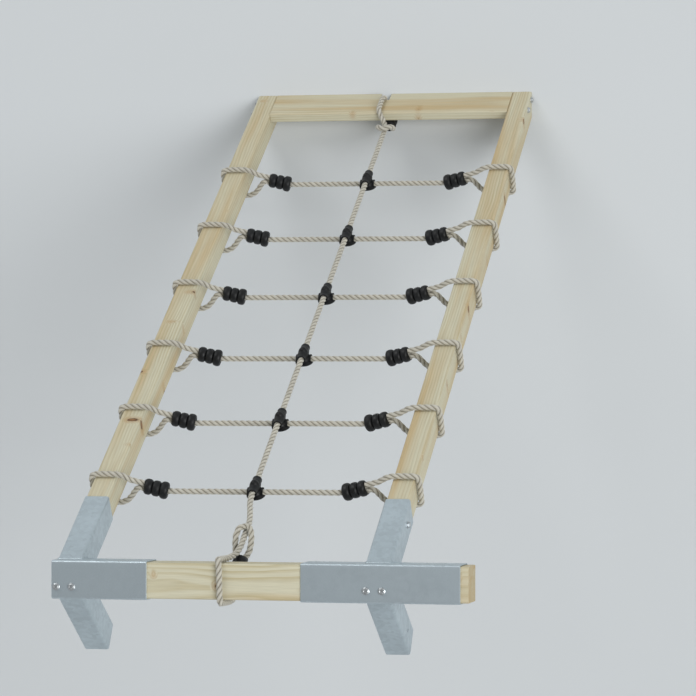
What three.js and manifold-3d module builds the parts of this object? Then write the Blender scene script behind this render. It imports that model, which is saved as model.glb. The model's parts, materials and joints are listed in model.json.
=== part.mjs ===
// Cargo climbing net: the leaning rope side of a timber A-frame.
// Two pine side rails stand on the ground and lean back to a swing beam. Welded steel brackets
// hold the rails to the beam, and their rear sockets take the legs of the A-frame's other side.
// Six rung ropes and one centre rope cross in moulded connectors. Every rung rope ends in a
// ribbed clamp at each side, and a loop of rope goes from the clamp round the rail. The centre
// rope is choked round the bottom board and round the beam through an eye in its own end.
//
// Millimetres, +Z up, the climber faces +Y, so +X is the climber's right. The net is laid out
// in the panel's own axes: x across, y up the slope from the ground, z outwards from the plane
// in the middle of the rails' depth. The origin is the middle of the bottom board's ground face.

import * as THREE from 'three';
import { mergeVertices } from 'three/addons/utils/BufferGeometryUtils.js';
import Module from 'manifold-3d';

// ---------------------------------------------------------------- driving dimensions

const SLOPE = THREE.MathUtils.degToRad(57.6); // of the rails, from the ground
const FRAME_WIDTH = 850; // over the two rails
const RUNG_COUNT = 6;
const RUNG_PITCH = 320; // up the slope
const FIRST_RUNG = 455; // ground to the lowest rung, up the slope
const LAST_RUNG_TO_BEAM = 400; // highest rung to the middle of the beam, up the slope

const RAIL_WIDTH = 58;
const RAIL_DEPTH = 70;
const BEAM_SIDE = 90;
const BOARD_WIDTH = 120; // of its outer face, up the slope
const BOARD_THICKNESS = 28;
const BOARD_END_GAP = 0.3; // between each end of the board and its rail
const NOTCH_HEIGHT = 40; // the rope's notch in the board's foot, in its outer face
const NOTCH_BEFORE = 18; // from the notch's left side to the rope on the outer face
const NOTCH_AFTER = 12; // from that rope to the notch's right side
const TIMBER_EDGE = 4; // rounding of the planed timbers' edges

const ROPE_DIAMETER = 16;
const ROPE_SIDES = 8;
const ROPE_TO_TIMBER = 1; // slack between a rope and the timber that it goes round
const ROPE_GAP = 0.4; // between two ropes that cross, and between a rope's cut end and its clamp

const CLAMP_LENGTH = 64;
const CLAMP_RADIUS = 21;
const CLAMP_INNER_RIB = 23; // radius of the rib nearest to the net's middle
const CLAMP_TO_RAIL = 103; // from a side clamp's middle to its rail
const RUNG_TO_CLAMP = 5; // from a rung rope's cut end to the middle of its clamp's end

const CONNECTOR_TOP = 29; // above the net's plane
const CONNECTOR_BASE = 18.5; // below the net's plane
const CONNECTOR_FOOT = 25; // radius of its round foot
const CONNECTOR_RIM = 5; // thickness of the foot's edge
const CONNECTOR_HEAD = 15.5; // radius of its head
const CONNECTOR_COLLAR = 12.5; // radius of the collars that the ropes come out of
const CONNECTOR_LENGTH = 66; // over the centre rope's two collars
const CONNECTOR_SPAN = 42; // over the rung rope's two collars

const EYE_LENGTH = 80; // from the ferrule's end to the eye's closed end
const EYE_PLAY = 4.5; // each side of the rope that passes through the eye
const FERRULE_LENGTH = 48;
const FERRULE_RADIUS = 19;
const BOTTOM_FERRULE_BACK = 2; // between the lower ferrule and the board's back
const TOP_FERRULE_DOWN = 70; // from the beam's middle to the upper ferrule, down the slope
const TOP_FERRULE_DEPTH = 20; // behind the net's plane
const TOP_EYE_X = -20; // the upper ferrule and its eye lie beside the net's middle
const BOTTOM_ROPE_X = 26; // where the rope crosses the board's outer face
const SPLIT_PAST_EYE = 16; // from an eye's closed end to the cut that frees the centre rope

const STEEL = 3; // bracket wall
const SLEEVE_PLAY = 0.4; // between a timber and its sleeve, each side
const LEG_SLEEVE_START = 92; // from the highest rung to the mouth of the leg sleeve
const RIGHT_SLEEVE_INWARDS = 214; // from the leg's middle to the beam sleeve's inner end
const LEFT_SLEEVE_INWARDS = 185;
const LEFT_SLEEVE_OUTWARDS = 216;
const BEAM_STUB = 20; // bare beam past the left sleeve
const BEAM_RECESS = 2; // of the beam's right end in its sleeve
const RAIL_TO_BEAM_SLEEVE = 3; // between a rail's top end and the beam sleeve

const SCREW_SHANK = 4; // radius
const SCREW_HEAD = 7.5; // radius over the corners
const SCREW_HEAD_HEIGHT = 5;
const WASHER_RADIUS = 9.5;
const WASHER_THICKNESS = 1.5;
const SCREW_PLAY = 0.3;
const UNDER_HEAD = 0.3;
const BEAM_SCREW_LENGTH = 55;
const LEG_SCREW_LENGTH = 45;
const BOARD_SCREW_LENGTH = 105;
const BEAM_SCREW_SPREAD = 20; // each way from the leg's middle
const BEAM_SCREW_BACK = 18; // behind the beam's middle
const LEG_SCREW_UP = 60; // from the leg sleeve's mouth
const BOARD_SCREW_INSET = 28; // from the board's long edges

// ---------------------------------------------------------------- what follows from them

const SIN = Math.sin(SLOPE);
const COS = Math.cos(SLOPE);
const ROPE_RADIUS = ROPE_DIAMETER / 2;
const ROUND_TIMBER = ROPE_RADIUS + ROPE_TO_TIMBER;
const CROSSING = ROPE_RADIUS + ROPE_GAP / 2; // rung ropes lie this far in, the centre rope out
const STRANDS_APART = ROPE_RADIUS + 0.75 * ROPE_GAP; // half of it, at a clamp's mouth
const EYE_HALF_WIDTH = ROPE_DIAMETER + EYE_PLAY; // to the middle of its rope

const RAIL_OUTER = FRAME_WIDTH / 2;
const RAIL_INNER = RAIL_OUTER - RAIL_WIDTH;
const RAIL_MIDDLE = RAIL_OUTER - RAIL_WIDTH / 2;
const FACE = RAIL_DEPTH / 2;

const LAST_RUNG = FIRST_RUNG + (RUNG_COUNT - 1) * RUNG_PITCH;
const BEAM_UP = LAST_RUNG + LAST_RUNG_TO_BEAM;
const BOARD_BACK = FACE - BOARD_THICKNESS;
const BOARD_FOOT = -FACE * (COS / SIN); // lower end of the board's outer face
const BOARD_TOP = BOARD_FOOT + BOARD_WIDTH;
const BOARD_MIDDLE = (FACE + BOARD_BACK) / 2;
const ORIGIN_SHIFT = BOARD_MIDDLE / SIN; // puts Y = 0 in the middle of the board's ground face

const SLEEVE_GROWTH = SLEEVE_PLAY + STEEL;
const BEAM_SLEEVE = BEAM_SIDE + 2 * SLEEVE_GROWTH;
const LEG_END = RAIL_OUTER + SLEEVE_GROWTH; // outer face of a leg sleeve
const LEG_SLEEVE_MOUTH = LAST_RUNG + LEG_SLEEVE_START;
const RAIL_TOP = BEAM_UP - (BEAM_SLEEVE / 2) * (SIN + COS) - RAIL_TO_BEAM_SLEEVE;

const CLAMP_X = RAIL_INNER - CLAMP_TO_RAIL;
const CLAMP_TILT = Math.asin(CROSSING / (CLAMP_LENGTH / 2));
const RUNG_END = CLAMP_X - (CLAMP_LENGTH / 2) * Math.cos(CLAMP_TILT) - RUNG_TO_CLAMP;

const QUARTER = Math.PI / 2;
const BEYOND = 2000; // reaches past everything that a cut has to clear

const wasm = await Module();
wasm.setup();

// ---------------------------------------------------------------- materials

const finish = (color, roughness, metalness) => () =>
  new THREE.MeshStandardMaterial({ color, roughness, metalness });
const pine = finish(0xc6bd94, 0.75, 0);
const zinc = finish(0xa6b4ba, 0.4, 0.9);
const zincScrew = finish(0xb8bec0, 0.35, 0.95);
const hempRope = finish(0xb4b2a4, 0.9, 0);
const blackPlastic = finish(0x16181a, 0.5, 0);

// ---------------------------------------------------------------- solids

// A closed geometry as a solid for cutting and joining.
function toSolid(geometry) {
  const bare = geometry.clone();
  bare.deleteAttribute('normal');
  bare.deleteAttribute('uv');
  const merged = mergeVertices(bare, 1e-4);
  const vertProperties = new Float32Array(merged.attributes.position.array);
  const triVerts = new Uint32Array(merged.index.array);
  return new wasm.Manifold(new wasm.Mesh({ numProp: 3, vertProperties, triVerts }));
}

function toGeometry(solid) {
  const mesh = solid.getMesh();
  const geometry = new THREE.BufferGeometry();
  geometry.setAttribute('position', new THREE.BufferAttribute(mesh.vertProperties, 3));
  geometry.setIndex(new THREE.BufferAttribute(mesh.triVerts, 1));
  geometry.computeVertexNormals();
  return geometry;
}

// A box from its lowest and highest corners, turned about the X axis through the origin.
function box(low, high, turn = 0) {
  const size = high.map((value, i) => value - low[i]);
  const geometry = new THREE.BoxGeometry(...size);
  geometry.translate(...low.map((value, i) => value + size[i] / 2));
  return geometry.rotateX(turn);
}

// A round bar of some radius from one point along a direction.
function rod(start, direction, length, radius, sides = 12) {
  const geometry = new THREE.CylinderGeometry(radius, radius, length, sides);
  const turn = new THREE.Quaternion().setFromUnitVectors(new THREE.Vector3(0, 1, 0), direction);
  geometry.translate(0, length / 2, 0).applyQuaternion(turn);
  return geometry.translate(start.x, start.y, start.z);
}

// A planed bar along +Z with rounded long edges, centred on the Z axis.
function planedBar(width, depth, length) {
  const [x, y, r] = [width / 2, depth / 2, TIMBER_EDGE];
  const outline = new THREE.Shape();
  outline.moveTo(x - r, -y);
  outline.absarc(x - r, r - y, r, -QUARTER, 0);
  outline.absarc(x - r, y - r, r, 0, QUARTER);
  outline.absarc(r - x, y - r, r, QUARTER, 2 * QUARTER);
  outline.absarc(r - x, r - y, r, 2 * QUARTER, 3 * QUARTER);
  return new THREE.ExtrudeGeometry(outline, { depth: length, bevelEnabled: false, curveSegments: 3 });
}

// A rope's route, with one ring of the tube on each of its own points.
class RopeRoute extends THREE.CatmullRomCurve3 {
  getPointAt(u, target) {
    return this.getPoint(u, target);
  }
  getTangentAt(u, target) {
    return this.getTangent(u, target);
  }
  getSpacedPoints(divisions) {
    return this.getPoints(divisions);
  }
}

function ropeTube(points) {
  const section = new THREE.Shape();
  section.absarc(0, 0, ROPE_RADIUS, 0, 2 * Math.PI);
  return new THREE.ExtrudeGeometry(section, {
    steps: points.length - 1,
    extrudePath: new RopeRoute(points, false, 'centripetal'),
    curveSegments: ROPE_SIDES / 2,
    bevelEnabled: false,
  });
}

// Points of an arc from one angle to another in a plane, as [u, v] pairs.
function arc(u, v, radius, from, to, steps = 4) {
  return Array.from({ length: steps + 1 }, (_, i) => {
    const angle = from + ((to - from) * i) / steps;
    return [u + radius * Math.cos(angle), v + radius * Math.sin(angle)];
  });
}

// ---------------------------------------------------------------- nodes

const model = new THREE.Group();
const panel = new THREE.Group(); // leans with the rails
const apex = new THREE.Group(); // level, in the middle of the beam
panel.rotation.x = SLOPE;
panel.position.y = ORIGIN_SHIFT;
apex.position.set(0, ORIGIN_SHIFT + BEAM_UP * COS, BEAM_UP * SIN);
model.add(panel, apex);

function addPart(group, name, geometry, material) {
  const mesh = new THREE.Mesh(geometry, material());
  mesh.name = name;
  group.add(mesh);
  return mesh;
}

// Both sides of the climber, with the sign of X.
const SIDES = [
  ['right', 1],
  ['left', -1],
];
const RUNGS = Array.from({ length: RUNG_COUNT }, (_, i) => [i + 1, FIRST_RUNG + i * RUNG_PITCH]);
const X_AXIS = new THREE.Vector3(1, 0, 0);

// ---------------------------------------------------------------- fasteners

// A hexagon washer-head screw: start is under its head, and direction is the way that it goes in.
function screwSolid(start, direction, length) {
  const out = direction.clone().negate();
  const washerTop = start.clone().addScaledVector(out, UNDER_HEAD + WASHER_THICKNESS);
  const washer = start.clone().addScaledVector(out, UNDER_HEAD);
  return toSolid(rod(washer, direction, length, SCREW_SHANK, 8))
    .add(toSolid(rod(washer, out, WASHER_THICKNESS, WASHER_RADIUS, 12)))
    .add(toSolid(rod(washerTop, out, SCREW_HEAD_HEIGHT, SCREW_HEAD, 6)));
}

// The hole that a screw leaves in what it goes through and into.
function screwHole(start, direction, length) {
  const before = start.clone().addScaledVector(direction, -SLEEVE_GROWTH - 1);
  const depth = length + SLEEVE_GROWTH + 2 * SCREW_PLAY + 1;
  return toSolid(rod(before, direction, depth, SCREW_SHANK + SCREW_PLAY));
}

// Each screw: its node's name, where it starts and which way it goes, in its group's axes.
const INTO_BEAM = new THREE.Vector3(0, 0, -1);
const beamScrews = SIDES.flatMap(([side, sign]) =>
  [-1, 1].map((end, i) => ({
    name: `${side}_beam_screw_${i + 1}`,
    start: new THREE.Vector3(
      sign * RAIL_MIDDLE + end * BEAM_SCREW_SPREAD, BEAM_SCREW_BACK, BEAM_SLEEVE / 2),
    direction: INTO_BEAM,
    length: BEAM_SCREW_LENGTH,
  })),
);
const legScrews = SIDES.map(([side, sign]) => ({
  name: `${side}_leg_screw`,
  start: new THREE.Vector3(sign * LEG_END, LEG_SLEEVE_MOUTH + LEG_SCREW_UP, 0),
  direction: X_AXIS.clone().multiplyScalar(-sign),
  length: LEG_SCREW_LENGTH,
}));
const boardScrews = SIDES.flatMap(([side, sign]) =>
  [BOARD_FOOT + BOARD_SCREW_INSET, BOARD_TOP - BOARD_SCREW_INSET].map((up, i) => ({
    name: `${side}_board_screw_${i + 1}`,
    start: new THREE.Vector3(sign * RAIL_OUTER, up, BOARD_MIDDLE),
    direction: X_AXIS.clone().multiplyScalar(-sign),
    length: BOARD_SCREW_LENGTH,
  })),
);

function withHoles(solid, screws) {
  return screws.reduce(
    (cut, { start, direction, length }) => cut.subtract(screwHole(start, direction, length)),
    solid,
  );
}

// ---------------------------------------------------------------- timbers

// Everything below the ground, in the panel's axes.
const belowGround = () => toSolid(box([-BEYOND, -BEYOND, -BEYOND], [BEYOND, BEYOND, 0], -SLOPE));

for (const [side, sign] of SIDES) {
  const below = 200; // spare length that the level foot cut takes away
  const bar = planedBar(RAIL_WIDTH, RAIL_DEPTH, RAIL_TOP + below);
  bar.rotateX(-QUARTER).translate(sign * RAIL_MIDDLE, -below, 0);
  const rail = toSolid(bar).subtract(belowGround());
  const screws = [...legScrews, ...boardScrews].filter(({ name }) => name.startsWith(side));
  addPart(panel, `${side}_rail`, toGeometry(withHoles(rail, screws)), pine);
}

// The bottom board lies between the rails, flush with their outer faces. Its foot is cut level,
// and a notch lets the centre rope pass under it.
const NOTCH_TOP = BOARD_FOOT + NOTCH_HEIGHT;
const boardLength = 2 * (RAIL_INNER - BOARD_END_GAP);
const boardBar = planedBar(2 * BOARD_WIDTH, BOARD_THICKNESS, boardLength)
  .rotateZ(QUARTER)
  .rotateY(QUARTER)
  .translate(-boardLength / 2, BOARD_TOP - BOARD_WIDTH, BOARD_MIDDLE);
const notch = box(
  [BOTTOM_ROPE_X - NOTCH_BEFORE, -BEYOND, -BEYOND],
  [BOTTOM_ROPE_X + NOTCH_AFTER, NOTCH_TOP, BEYOND],
);
const board = toSolid(boardBar).subtract(belowGround()).subtract(toSolid(notch));
addPart(panel, 'bottom_board', toGeometry(withHoles(board, boardScrews)), pine);

const BEAM_RIGHT = LEG_END - BEAM_RECESS;
const LEFT_SLEEVE_END = -RAIL_MIDDLE - LEFT_SLEEVE_OUTWARDS;
const BEAM_LEFT = LEFT_SLEEVE_END - BEAM_STUB;
const beamBar = planedBar(BEAM_SIDE, BEAM_SIDE, BEAM_RIGHT - BEAM_LEFT)
  .rotateY(QUARTER)
  .translate(BEAM_LEFT, 0, 0);
addPart(apex, 'top_beam', toGeometry(withHoles(toSolid(beamBar), beamScrews)), pine);

// ---------------------------------------------------------------- steel brackets

// One welded bracket: a square sleeve along the beam and two sleeves that lean down from it,
// mitred to each other under the beam. Built about the middle of the beam.
function bracketSolid(sign, sleeveFrom, sleeveTo) {
  const outer = BEAM_SLEEVE / 2;
  const inner = outer - STEEL;
  const [halfWidth, halfDepth] = [RAIL_WIDTH / 2 + SLEEVE_GROWTH, FACE + SLEEVE_GROWTH];
  const mouth = LEG_SLEEVE_MOUTH - BEAM_UP;
  const x = sign * RAIL_MIDDLE;
  const behind = toSolid(box([-BEYOND, 0, -BEYOND], [BEYOND, BEYOND, BEYOND]));
  const leg = (wall) => toSolid(box(
    [x - halfWidth + wall, mouth - wall, wall - halfDepth],
    [x + halfWidth - wall, 0, halfDepth - wall],
    SLOPE,
  )).subtract(behind);
  const frontWalls = leg(0);
  const frontHollow = leg(STEEL);
  const walls = frontWalls.add(frontWalls.mirror([0, 1, 0]));
  const hollows = frontHollow.add(frontHollow.mirror([0, 1, 0]));
  const sleeve = toSolid(box([sleeveFrom, -outer, -outer], [sleeveTo, outer, outer]));
  const bore = toSolid(box([sleeveFrom - 1, -inner, -inner], [sleeveTo + 1, inner, inner]));
  return walls.subtract(hollows.subtract(sleeve)).add(sleeve).subtract(bore);
}

const brackets = {
  right: [RAIL_MIDDLE - RIGHT_SLEEVE_INWARDS, LEG_END],
  left: [LEFT_SLEEVE_END, LEFT_SLEEVE_INWARDS - RAIL_MIDDLE],
};
const REAR = new THREE.Vector3(1, -1, 1); // mirrors a place to the other side of the beam
const apexFromPanel = new THREE.Matrix4()
  .makeRotationX(SLOPE)
  .multiply(new THREE.Matrix4().makeTranslation(0, -BEAM_UP, 0));
for (const [side, sign] of SIDES) {
  const beamHoles = beamScrews.filter(({ name }) => name.startsWith(side));
  const legHoles = legScrews
    .filter(({ name }) => name.startsWith(side))
    .map((screw) => ({ ...screw, start: screw.start.clone().applyMatrix4(apexFromPanel) }));
  // The empty socket has the same hole, for the screw of the other side's leg.
  const socketHoles = legHoles.map((hole) => ({ ...hole, start: hole.start.clone().multiply(REAR) }));
  const holes = [...beamHoles, ...legHoles, ...socketHoles];
  const bracket = withHoles(bracketSolid(sign, ...brackets[side]), holes);
  addPart(apex, `${side}_bracket`, toGeometry(bracket), zinc);
}

for (const [group, screws] of [[apex, beamScrews], [panel, legScrews], [panel, boardScrews]]) {
  for (const { name, start, direction, length } of screws) {
    addPart(group, name, toGeometry(screwSolid(start, direction, length)), zincScrew);
  }
}

// ---------------------------------------------------------------- moulded plastic

// A ribbed barrel about the Y axis. Its ribs' radii are listed from the lower end up.
function ribbedBarrel(length, ribs) {
  const [neck, collar, flank] = [0.76, 0.66, 0.24]; // shares of a rib's radius and of its pitch
  const end = length / 2;
  const pitch = length / ribs.length;
  const outline = [[0, -end], [collar * ribs[0], -end]];
  ribs.forEach((radius, i) => {
    const low = i * pitch - end;
    if (i > 0) outline.push([neck * radius, low]);
    outline.push([radius, low + flank * pitch], [radius, low + pitch - flank * pitch]);
  });
  outline.push([collar * ribs.at(-1), end], [0, end]);
  return new THREE.LatheGeometry(outline.map(([r, y]) => new THREE.Vector2(r, y)), 12);
}

// A side clamp grips a rung rope's end at its inner end and both strands of the loop at its
// outer end. Its inner end lies as deep as the rung ropes do, so it leans outwards.
for (const [rung, up] of RUNGS) {
  for (const [side, sign] of SIDES) {
    const barrel = ribbedBarrel(CLAMP_LENGTH, [CLAMP_INNER_RIB, CLAMP_RADIUS, CLAMP_RADIUS]);
    const clamp = addPart(panel, `${side}_clamp_${rung}`, barrel, blackPlastic);
    const outwards = new THREE.Vector3(sign * Math.cos(CLAMP_TILT), 0, Math.sin(CLAMP_TILT));
    clamp.quaternion.setFromUnitVectors(new THREE.Vector3(0, 1, 0), outwards);
    clamp.position.set(sign * CLAMP_X, up, 0);
  }
}

// A cross connector: a bell with a round foot behind the ropes. Its sides curve in from the foot
// to the head. The rung rope goes through its lower bore and the centre rope through its upper one,
// and each bore has a collar at both ends.
function bellOutline() {
  const rim = CONNECTOR_RIM - CONNECTOR_BASE;
  const spread = CONNECTOR_FOOT - CONNECTOR_HEAD;
  const flare = [0, 0.25, 0.5, 0.75, 1].map((t) => [CONNECTOR_HEAD + spread * (1 - t) ** 2, rim * (1 - t)]);
  const dome = [0.25, 0.5, 0.75].map((t) => [
    CONNECTOR_HEAD * Math.cos(t * QUARTER),
    CONNECTOR_TOP * Math.sin(t * QUARTER),
  ]);
  const foot = [[0, -CONNECTOR_BASE], [CONNECTOR_FOOT, -CONNECTOR_BASE]];
  return [...foot, ...flare, ...dome, [0, CONNECTOR_TOP]].map(([r, y]) => new THREE.Vector2(r, y));
}

function connectorSolid() {
  const bell = new THREE.LatheGeometry(bellOutline(), 16).rotateX(QUARTER);
  const yAxis = new THREE.Vector3(0, 1, 0);
  const through = (half, axis, height, radius) => {
    const start = axis.clone().multiplyScalar(-half).setZ(height);
    return toSolid(rod(start, axis, 2 * half, radius, 12));
  };
  const [across, along] = [CONNECTOR_SPAN / 2, CONNECTOR_LENGTH / 2];
  const bore = ROPE_RADIUS + ROPE_GAP;
  const below = box([-BEYOND, -BEYOND, -BEYOND], [BEYOND, BEYOND, -CONNECTOR_BASE]);
  return toSolid(bell)
    .add(through(across, X_AXIS, -CROSSING, CONNECTOR_COLLAR))
    .add(through(along, yAxis, CROSSING, CONNECTOR_COLLAR))
    .subtract(toSolid(below))
    .subtract(through(across + CONNECTOR_FOOT, X_AXIS, -CROSSING, bore))
    .subtract(through(along + CONNECTOR_FOOT, yAxis, CROSSING, bore));
}

for (const [rung, up] of RUNGS) {
  const connector = addPart(
    panel, `cross_connector_${rung}`, toGeometry(connectorSolid()), blackPlastic);
  connector.position.set(0, up, 0);
}

// ---------------------------------------------------------------- ropes

for (const [rung, up] of RUNGS) {
  const ends = [-RUNG_END, 0, RUNG_END].map((x) => new THREE.Vector3(x, up, -CROSSING));
  addPart(panel, `rung_rope_${rung}`, ropeTube(ends), hempRope);
}

// A side loop leaves its clamp as two strands, one above the other. It goes over the rail's
// outer face, down its far side and back under it, and lies slack at the two near corners.
function sideLoopRoute(sign, up) {
  const [c, s] = [Math.cos(CLAMP_TILT), Math.sin(CLAMP_TILT)];
  const reach = CLAMP_LENGTH / 2 + ROPE_GAP;
  const fromClamp = (along, across) => [
    CLAMP_X + (reach + along) * c - across * s,
    (reach + along) * s + across * c,
  ];
  const near = RAIL_INNER;
  const lift = FACE + ROUND_TIMBER;
  const route = [
    fromClamp(0, STRANDS_APART),
    fromClamp(12, STRANDS_APART),
    [near - 38, FACE - 8],
    [near - 22, FACE + 1.5],
    [near - 9, lift - 2],
    [near + 5, lift],
    ...arc(RAIL_OUTER, FACE, ROUND_TIMBER, QUARTER, 0),
    ...arc(RAIL_OUTER, -FACE, ROUND_TIMBER, 0, -QUARTER),
    [near + 5, -lift],
    [near - 9, 2 - lift],
    [near - 22, -FACE],
    [near - 35, 14 - FACE],
    [near - 46, 29 - FACE],
    fromClamp(12, -STRANDS_APART),
    fromClamp(0, -STRANDS_APART),
  ];
  return route.map(([x, z]) => new THREE.Vector3(sign * x, up, z));
}

for (const [rung, up] of RUNGS) {
  for (const [side, sign] of SIDES) {
    addPart(panel, `${side}_loop_${rung}`, ropeTube(sideLoopRoute(sign, up)), hempRope);
  }
}

// A hitch: the rope goes round a timber and back through the eye in its own end, which a
// ferrule closes. toNet is +1 where the net lies up the slope from the ferrule.
const EYE_DEPTH = CROSSING + ROPE_DIAMETER + 1; // the closed end rides over the standing rope

function eyeRoute(x, ferruleEnd, depth, toNet) {
  const start = ferruleEnd + toNet * ROPE_GAP;
  const rise = EYE_DEPTH - depth;
  const half = [
    [STRANDS_APART, 0],
    [STRANDS_APART, 0.05],
    [0.6 * EYE_HALF_WIDTH, 0.17],
    [0.85 * EYE_HALF_WIDTH, 0.3],
    [EYE_HALF_WIDTH, 0.52],
    [0.96 * EYE_HALF_WIDTH, 0.72],
    [0.72 * EYE_HALF_WIDTH, 0.89],
    [0.38 * EYE_HALF_WIDTH, 0.98],
  ];
  const place = (side) => ([across, share]) => new THREE.Vector3(
    x + side * across,
    start + toNet * share * EYE_LENGTH,
    depth + rise * THREE.MathUtils.smoothstep(share, 0.05, 1),
  );
  const closed = new THREE.Vector3(x, start + toNet * EYE_LENGTH, EYE_DEPTH);
  return [...half.map(place(1)), closed, ...half.map(place(-1)).reverse()];
}

function addHitch(name, x, ferruleFrom, depth, toNet, wrap) {
  const middle = ferruleFrom + (toNet * FERRULE_LENGTH) / 2;
  const barrel = ribbedBarrel(FERRULE_LENGTH, [FERRULE_RADIUS, FERRULE_RADIUS]);
  const ferrule = addPart(panel, `${name}_ferrule`, barrel, blackPlastic);
  ferrule.position.set(x, middle, depth);
  const eye = eyeRoute(x, ferruleFrom + toNet * FERRULE_LENGTH, depth, toNet);
  addPart(panel, `${name}_eye`, ropeTube(eye), hempRope);
  addPart(panel, `${name}_hitch_rope`, ropeTube(wrap), hempRope);
}

// The lower hitch: from the ferrule behind the board, down under the board through its notch,
// up the outer face, over the top edge, through the eye and under its closed end.
const LOW_DEPTH = BOARD_BACK - FERRULE_RADIUS - BOTTOM_FERRULE_BACK;
const LOW_FERRULE = BOARD_TOP - FERRULE_LENGTH;
const LOW_SPLIT = BOARD_TOP + EYE_LENGTH + SPLIT_PAST_EYE;
const lowRoute = [
  [0, LOW_FERRULE - ROPE_GAP, LOW_DEPTH],
  [0, LOW_FERRULE - 9, LOW_DEPTH],
  [3, NOTCH_TOP + 12, LOW_DEPTH + 1],
  ...arc(NOTCH_TOP, BOARD_BACK, ROUND_TIMBER, -0.75 * QUARTER, -2 * QUARTER, 4)
    .map(([up, depth], i) => [10 + 2.5 * i, up, depth]),
  ...arc(NOTCH_TOP, FACE, ROUND_TIMBER, 2 * QUARTER, QUARTER)
    .map(([up, depth], i) => [22 + i, up, depth]),
  ...arc(BOARD_TOP, FACE, ROUND_TIMBER, QUARTER, 0)
    .map(([up, depth], i) => [BOTTOM_ROPE_X - 1.5 * i, up, depth]),
  [14, BOARD_TOP + 16, CROSSING + 14],
  [7, BOARD_TOP + 28, CROSSING + 5],
  [2, BOARD_TOP + 45, CROSSING + 1],
  [0, BOARD_TOP + 62, CROSSING],
  [0, LOW_SPLIT - 12, CROSSING],
  [0, LOW_SPLIT, CROSSING],
].map(([x, up, depth]) => new THREE.Vector3(x, up, depth));
addHitch('bottom', 0, LOW_FERRULE, LOW_DEPTH, 1, lowRoute);

// The upper hitch: from the ferrule under the beam, up behind it, over the top, down its front,
// through the eye and under its closed end. Worked out level, in the beam's axes.
const HIGH_DEPTH = -TOP_FERRULE_DEPTH;
const HIGH_FERRULE = BEAM_UP - TOP_FERRULE_DOWN;
const HIGH_SPLIT = HIGH_FERRULE - FERRULE_LENGTH - EYE_LENGTH - SPLIT_PAST_EYE;
const beamEdge = BEAM_SIDE / 2;
const fromBeam = ([x, level, height]) => new THREE.Vector3(
  x,
  BEAM_UP + level * COS + height * SIN,
  height * COS - level * SIN,
);
const highRoute = [
  new THREE.Vector3(TOP_EYE_X, HIGH_FERRULE + ROPE_GAP, HIGH_DEPTH),
  new THREE.Vector3(TOP_EYE_X, HIGH_FERRULE + 8, HIGH_DEPTH),
  fromBeam([TOP_EYE_X, -12, -beamEdge - ROUND_TIMBER - 3.5]),
  fromBeam([TOP_EYE_X, -5, -beamEdge - ROUND_TIMBER - 0.5]),
  fromBeam([TOP_EYE_X + 1, 4, -beamEdge - ROUND_TIMBER]),
  ...arc(beamEdge, -beamEdge, ROUND_TIMBER, -QUARTER, 0)
    .map(([level, height], i) => fromBeam([TOP_EYE_X + 4 + i, level, height])),
  ...arc(beamEdge, beamEdge, ROUND_TIMBER, 0, QUARTER)
    .map(([level, height]) => fromBeam([-8, level, height])),
  ...arc(-beamEdge, beamEdge, ROUND_TIMBER, QUARTER, 2 * QUARTER)
    .map(([level, height], i) => fromBeam([-5 + i, level, height])),
  fromBeam([-1, -beamEdge - ROUND_TIMBER, 0]),
  fromBeam([-4, -beamEdge - ROUND_TIMBER, -beamEdge + 12]),
  ...[
    [-8, -78, CROSSING + 8.5],
    [-13, -96, CROSSING + 3],
    [-17, -114, CROSSING + 0.5],
    [-19.5, -132, CROSSING],
    [TOP_EYE_X, -150, CROSSING],
  ].map(([x, up, depth]) => new THREE.Vector3(x, BEAM_UP + up, depth)),
  new THREE.Vector3(TOP_EYE_X, HIGH_SPLIT + 12, CROSSING),
  new THREE.Vector3(TOP_EYE_X, HIGH_SPLIT, CROSSING),
];
addHitch('top', TOP_EYE_X, HIGH_FERRULE, HIGH_DEPTH, -1, highRoute);

// The centre rope runs straight through the connectors and swings over to the upper hitch.
const lastMouth = LAST_RUNG + CONNECTOR_LENGTH / 2 + 6;
const swing = HIGH_SPLIT - ROPE_GAP - lastMouth;
const centreRoute = [
  [0, LOW_SPLIT + ROPE_GAP],
  [0, (LOW_SPLIT + LAST_RUNG) / 2],
  [0, lastMouth],
  ...[0.25, 0.5, 0.75, 0.9, 1].map((share) => [
    TOP_EYE_X * THREE.MathUtils.smoothstep(share, 0, 0.9),
    lastMouth + swing * share,
  ]),
].map(([x, up]) => new THREE.Vector3(x, up, CROSSING));
addPart(panel, 'centre_rope', ropeTube(centreRoute), hempRope);

export default model;
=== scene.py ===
import json
from functools import partial
from math import radians

import bpy
import numpy as np
from mathutils import Matrix, Vector


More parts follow.
